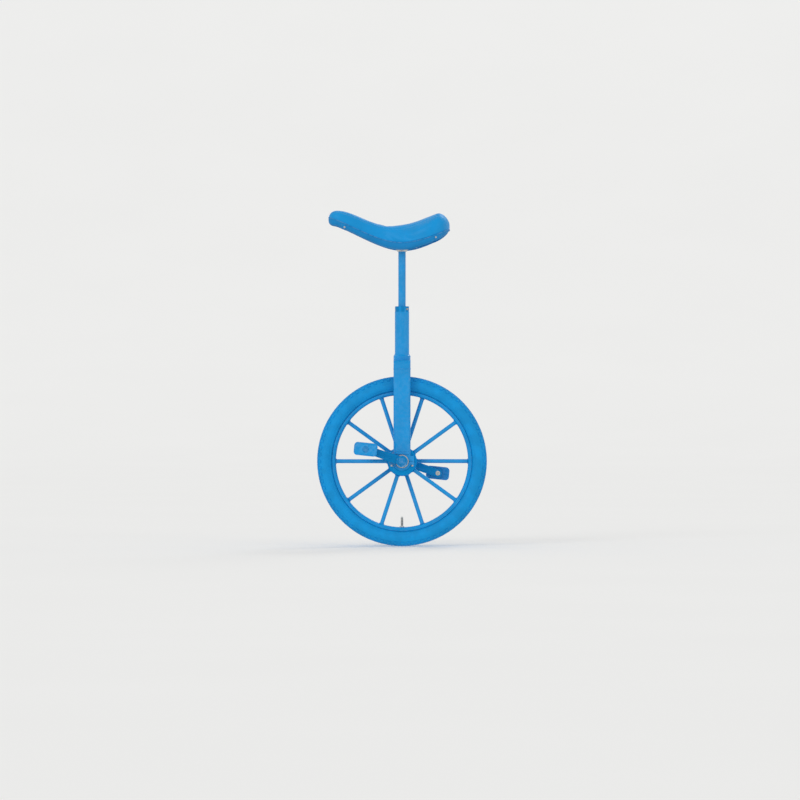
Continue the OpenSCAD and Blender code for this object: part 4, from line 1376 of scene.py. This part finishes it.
class UNICYCLE_OT_base(bpy.types.Operator):
    """Moulds the saddle's base with its lip, ribs and mounting pad, and the two bumpers"""

    bl_idname = "unicycle.base"
    bl_label = "Saddle base and bumpers"

    SEAM = 0.4 * MM
    PAD = (112 * MM, 52 * MM, 10 * MM)
    HOOPS = 4
    HOOP_PITCH = 6.5 * MM
    # Ribs that run along the base stand at these distances from its middle, and those across it at these x
    RIBS_ALONG = (-20, 20)
    RIBS_ACROSS = (-140, -110, -80, 66, 82)
    # The bracket's pad takes the room between these two
    PAD_END = 58

    def execute(self, context):
        sizes = context.scene.unicycle_sizes
        front_x = FRONT_BUMPER_BOX[1].x
        rear_x = REAR_BUMPER_BOX[0].x
        lip = sizes.lip / MM
        base = self.shell("base_shell", 0.7, lip, front_x + self.SEAM, rear_x - self.SEAM, sizes)
        parts = [base, self.pad()] + self.ribs(front_x, rear_x)
        whole = join(parts, "saddle_base")
        smooth(whole, 35)
        deliver(whole, "saddle", "base_plastic", "seat_base")
        for name, node, low_x, high_x in (
            ("nose_bumper", "front_bumper", None, front_x),
            ("tail_bumper", "rear_bumper", rear_x, None),
        ):
            shell = self.shell(name + "_shell", 0.0, lip, low_x, high_x, sizes)
            bumper = join([shell] + self.hoops(node), name)
            smooth(bumper, 35)
            deliver(bumper, "saddle", "bumper_plastic", node)
        self.screws(front_x, rear_x)
        return {"FINISHED"}

    def shell(self, name, inset, lip, low_x, high_x, sizes):
        sheet = base_sheet(name, inset, lip, low_x, high_x)
        upright = sum(p.normal.z * p.area for p in sheet.data.polygons if abs(p.normal.z) > 0.9)
        if upright < 0:
            reshape(sheet, "polygons", everything, "flip_normals")
        add_modifier(sheet, "SOLIDIFY", thickness=sizes.base_wall, offset=-1, use_even_offset=False)
        apply_modifiers(sheet)
        round_edges(sheet, 0.6 * MM, 2, 50)
        return sheet

    def pad(self):
        """The block that the bracket bolts to."""
        centre = (BRACKET_BOX[0] + BRACKET_BOX[1]) / 2
        size = Vector(self.PAD)
        block = primitive("cube", "pad", size=1)
        block.data.transform(Matrix.Diagonal((*size, 1)))

        def upright(edge):
            first, second = (block.data.vertices[v].co.z for v in edge.vertices)
            return first * second < 0

        reshape(block, "edges", upright, "bevel", offset=8 * MM, segments=6)
        place = Vector((centre.x, centre.y, BRACKET_BOX[1].z + size.z / 2))
        block.data.transform(Matrix.Translation(place))
        round_edges(block, 0.8 * MM, 2, 60)
        return block

    def deck_height(self, x):
        """The underside of the deck, where the ribs start, in millimetres."""
        return line_at(PARTING_LINE, x) - 3.5

    def ribs(self, front_x, rear_x):
        """Stiffening ribs under the deck, along and across."""
        ribs = []
        low, high = front_x / MM + 6, rear_x / MM - 6
        for y in self.RIBS_ALONG:
            for x0, x1 in ((low, -self.PAD_END), (self.PAD_END, high)):
                path = [in_place(Vector((x, y, self.deck_height(x)))) for x in spread(x0, x1, 18)]
                ribs.append(strip("rib", path, 9 * MM, 2 * MM))
        for x in self.RIBS_ACROSS:
            half = SaddleSection(x).half_w - 6
            path = [in_place(Vector((x, y, self.deck_height(x)))) for y in spread(-half, half, 4)]
            ribs.append(strip("rib", path, 7 * MM, 2 * MM))
        return ribs

    def hoops(self, node):
        """Raised grip lines round a bumper's skirt."""
        low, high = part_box(node)
        inner = high.x if node == "front_bumper" else low.x
        step = -self.HOOP_PITCH if node == "front_bumper" else self.HOOP_PITCH
        hoops = []
        for index in range(1, self.HOOPS + 1):
            x = (inner + step * index) / MM
            section = SaddleSection(x, 0.35)
            for side in (0, 1):
                points = section.walk(section.parting - 0.10, section.lip_angle(9), 40)
                path = [in_place(Vector((p.x, -p.y if side else p.y, p.z))) for p in points]
                hoops.append(swept("hoop", path, 0.9 * MM, sides=2))
        return hoops

    def screws(self, front_x, rear_x):
        """The pan head screws that hold the bumpers, one a side."""
        heads = []
        for x in (front_x / MM - 3.4, rear_x / MM + 3.4):
            section = SaddleSection(x)
            angle = (section.parting - 0.9) / 2 if x < 0 else -0.35
            for side in (-1, 1):
                spot = section.point(angle)
                head = primitive("cylinder", "screw", vertices=28, radius=2.9 * MM, depth=2.4 * MM)
                reshape(head, "polygons", lambda p: p.normal.z > 0.9, "bevel", offset=0.8 * MM, segments=3)
                edit(head, "polygons", lambda p: p.normal.z > 0.99)
                bpy.ops.mesh.inset(thickness=0.9 * MM)
                bpy.ops.mesh.extrude_region_move(TRANSFORM_OT_translate={"value": (0, 0, -1.2 * MM)})
                leave_edit()
                place = in_place(Vector((x, side * spot.y, spot.z)))
                head.data.transform(Matrix.Translation(place) @ facing((0, side, -0.06)))
                heads.append(head)
        screws = join(heads, "bumper_screws")
        smooth(screws, 40)
        deliver(screws, "saddle", "plain_steel")


def spread(low, high, count):
    """count + 1 numbers from low to high."""
    return [low + (high - low) * i / count for i in range(count + 1)]


# ---------------------------------------------------------------- stage


def soft_light(name, direction, width, strength):
    """A broad, even light that shines along a direction, as from a large panel far away."""
    light = bpy.data.lights.new(name, "SUN")
    light.angle = math.radians(width)
    light.energy = strength
    lamp = bpy.data.objects.new(name, light)
    lamp.location = -Vector(direction)
    lamp.rotation_euler = Vector(direction).to_track_quat("-Z", "Y").to_euler()
    bpy.context.scene.collection.objects.link(lamp)


class UNICYCLE_OT_stage(bpy.types.Operator):
    """Sets the floor, the soft lights and the camera"""

    bl_idname = "unicycle.stage"
    bl_label = "Stage"

    # The lens in its own millimetres, how far it sees, and the camera's place along and above the floor
    LENS = 200
    CLIP_END = 200
    CAMERA_X = -6 * MM
    CAMERA_Z = 437 * MM
    SKY_STRENGTH = 0.72

    def execute(self, context):
        colours = context.scene.unicycle_colours
        distance = context.scene.unicycle_sizes.camera_distance
        self.bowl(colours.studio)
        self.sky()
        soft_light("key_light", (5.2, 7.6, -4.0), 24, 0.72)
        soft_light("fill_light", (-7.0, 6.0, -2.0), 28, 0.26)
        soft_light("rim_light", (-4.4, -9.4, -6.2), 20, 0.55)
        camera = bpy.data.objects.new("camera", bpy.data.cameras.new("camera"))
        camera.data.lens = self.LENS
        camera.data.clip_end = self.CLIP_END
        camera.location = (self.CAMERA_X, -distance, self.CAMERA_Z)
        camera.rotation_euler = (math.radians(90), 0, 0)
        context.scene.collection.objects.link(camera)
        context.scene.camera = camera
        context.scene.view_settings.view_transform = "Standard"
        return {"FINISHED"}

    def bowl(self, colour):
        """A wide floor that curves up into a backdrop all round."""
        reach, rise, corner = 32.0, 22.0, 17.0
        outline = [Vector((0, 0)), Vector((4, 0)), Vector((9, 0)), Vector((reach - corner, 0))]
        for step in range(1, 25):
            a = math.pi / 2 * step / 24
            outline.append(Vector((reach - corner + corner * math.sin(a), corner - corner * math.cos(a))))
        outline.append(Vector((reach, rise)))
        rows = len(outline) - 1
        around = 96

        def place(u, v):
            p = outline[round(u * rows)]
            return Vector((p.x * math.cos(TURN * v), p.x * math.sin(TURN * v), p.y))

        bowl = wrapped("studio_floor", rows, around, place)
        tidy_mesh(bowl)
        reshape(bowl, "polygons", everything, "flip_normals")
        smooth(bowl, 60)
        bowl.data.materials.append(studio_paper("backdrop_paper", colour))
        bowl.visible_shadow = False
        bowl.visible_diffuse = False

    def sky(self):
        world = bpy.data.worlds.new("soft_sky")
        world.use_nodes = True
        background = world.node_tree.nodes["Background"]
        background.inputs["Color"].default_value = (1, 1, 1, 1)
        background.inputs["Strength"].default_value = self.SKY_STRENGTH
        bpy.context.scene.world = world


# ---------------------------------------------------------------- panel and registration

PIECES = (
    UNICYCLE_OT_finishes, UNICYCLE_OT_edges, UNICYCLE_OT_tyre, UNICYCLE_OT_rim, UNICYCLE_OT_collars,
    UNICYCLE_OT_valve, UNICYCLE_OT_welds, UNICYCLE_OT_pedals, UNICYCLE_OT_cover, UNICYCLE_OT_piping,
    UNICYCLE_OT_base, UNICYCLE_OT_stage,
)


class UNICYCLE_PT_panel(bpy.types.Panel):
    """Lists the colours, the sizes and the pieces"""

    bl_idname = "UNICYCLE_PT_panel"
    bl_label = "Unicycle"
    bl_space_type = "VIEW_3D"
    bl_region_type = "UI"
    bl_category = "Unicycle"

    def draw(self, context):
        layout = self.layout
        for group in (context.scene.unicycle_colours, context.scene.unicycle_sizes):
            column = layout.column(align=True)
            for name in group.__annotations__:
                column.prop(group, name)
        for piece in PIECES:
            layout.operator(piece.bl_idname)


CLASSES = (UnicycleColours, UnicycleSizes, *PIECES, UNICYCLE_PT_panel)


def register():
    for each in CLASSES:
        bpy.utils.register_class(each)
    bpy.types.Scene.unicycle_colours = bpy.props.PointerProperty(type=UnicycleColours)
    bpy.types.Scene.unicycle_sizes = bpy.props.PointerProperty(type=UnicycleSizes)


def unregister():
    del bpy.types.Scene.unicycle_sizes
    del bpy.types.Scene.unicycle_colours
    for each in reversed(CLASSES):
        bpy.utils.unregister_class(each)


def main():
    register()
    for piece in PIECES:
        getattr(bpy.ops.unicycle, piece.bl_idname.split(".")[1])()
    bpy.context.view_layer.update()


if __name__ == "__main__":
    main()
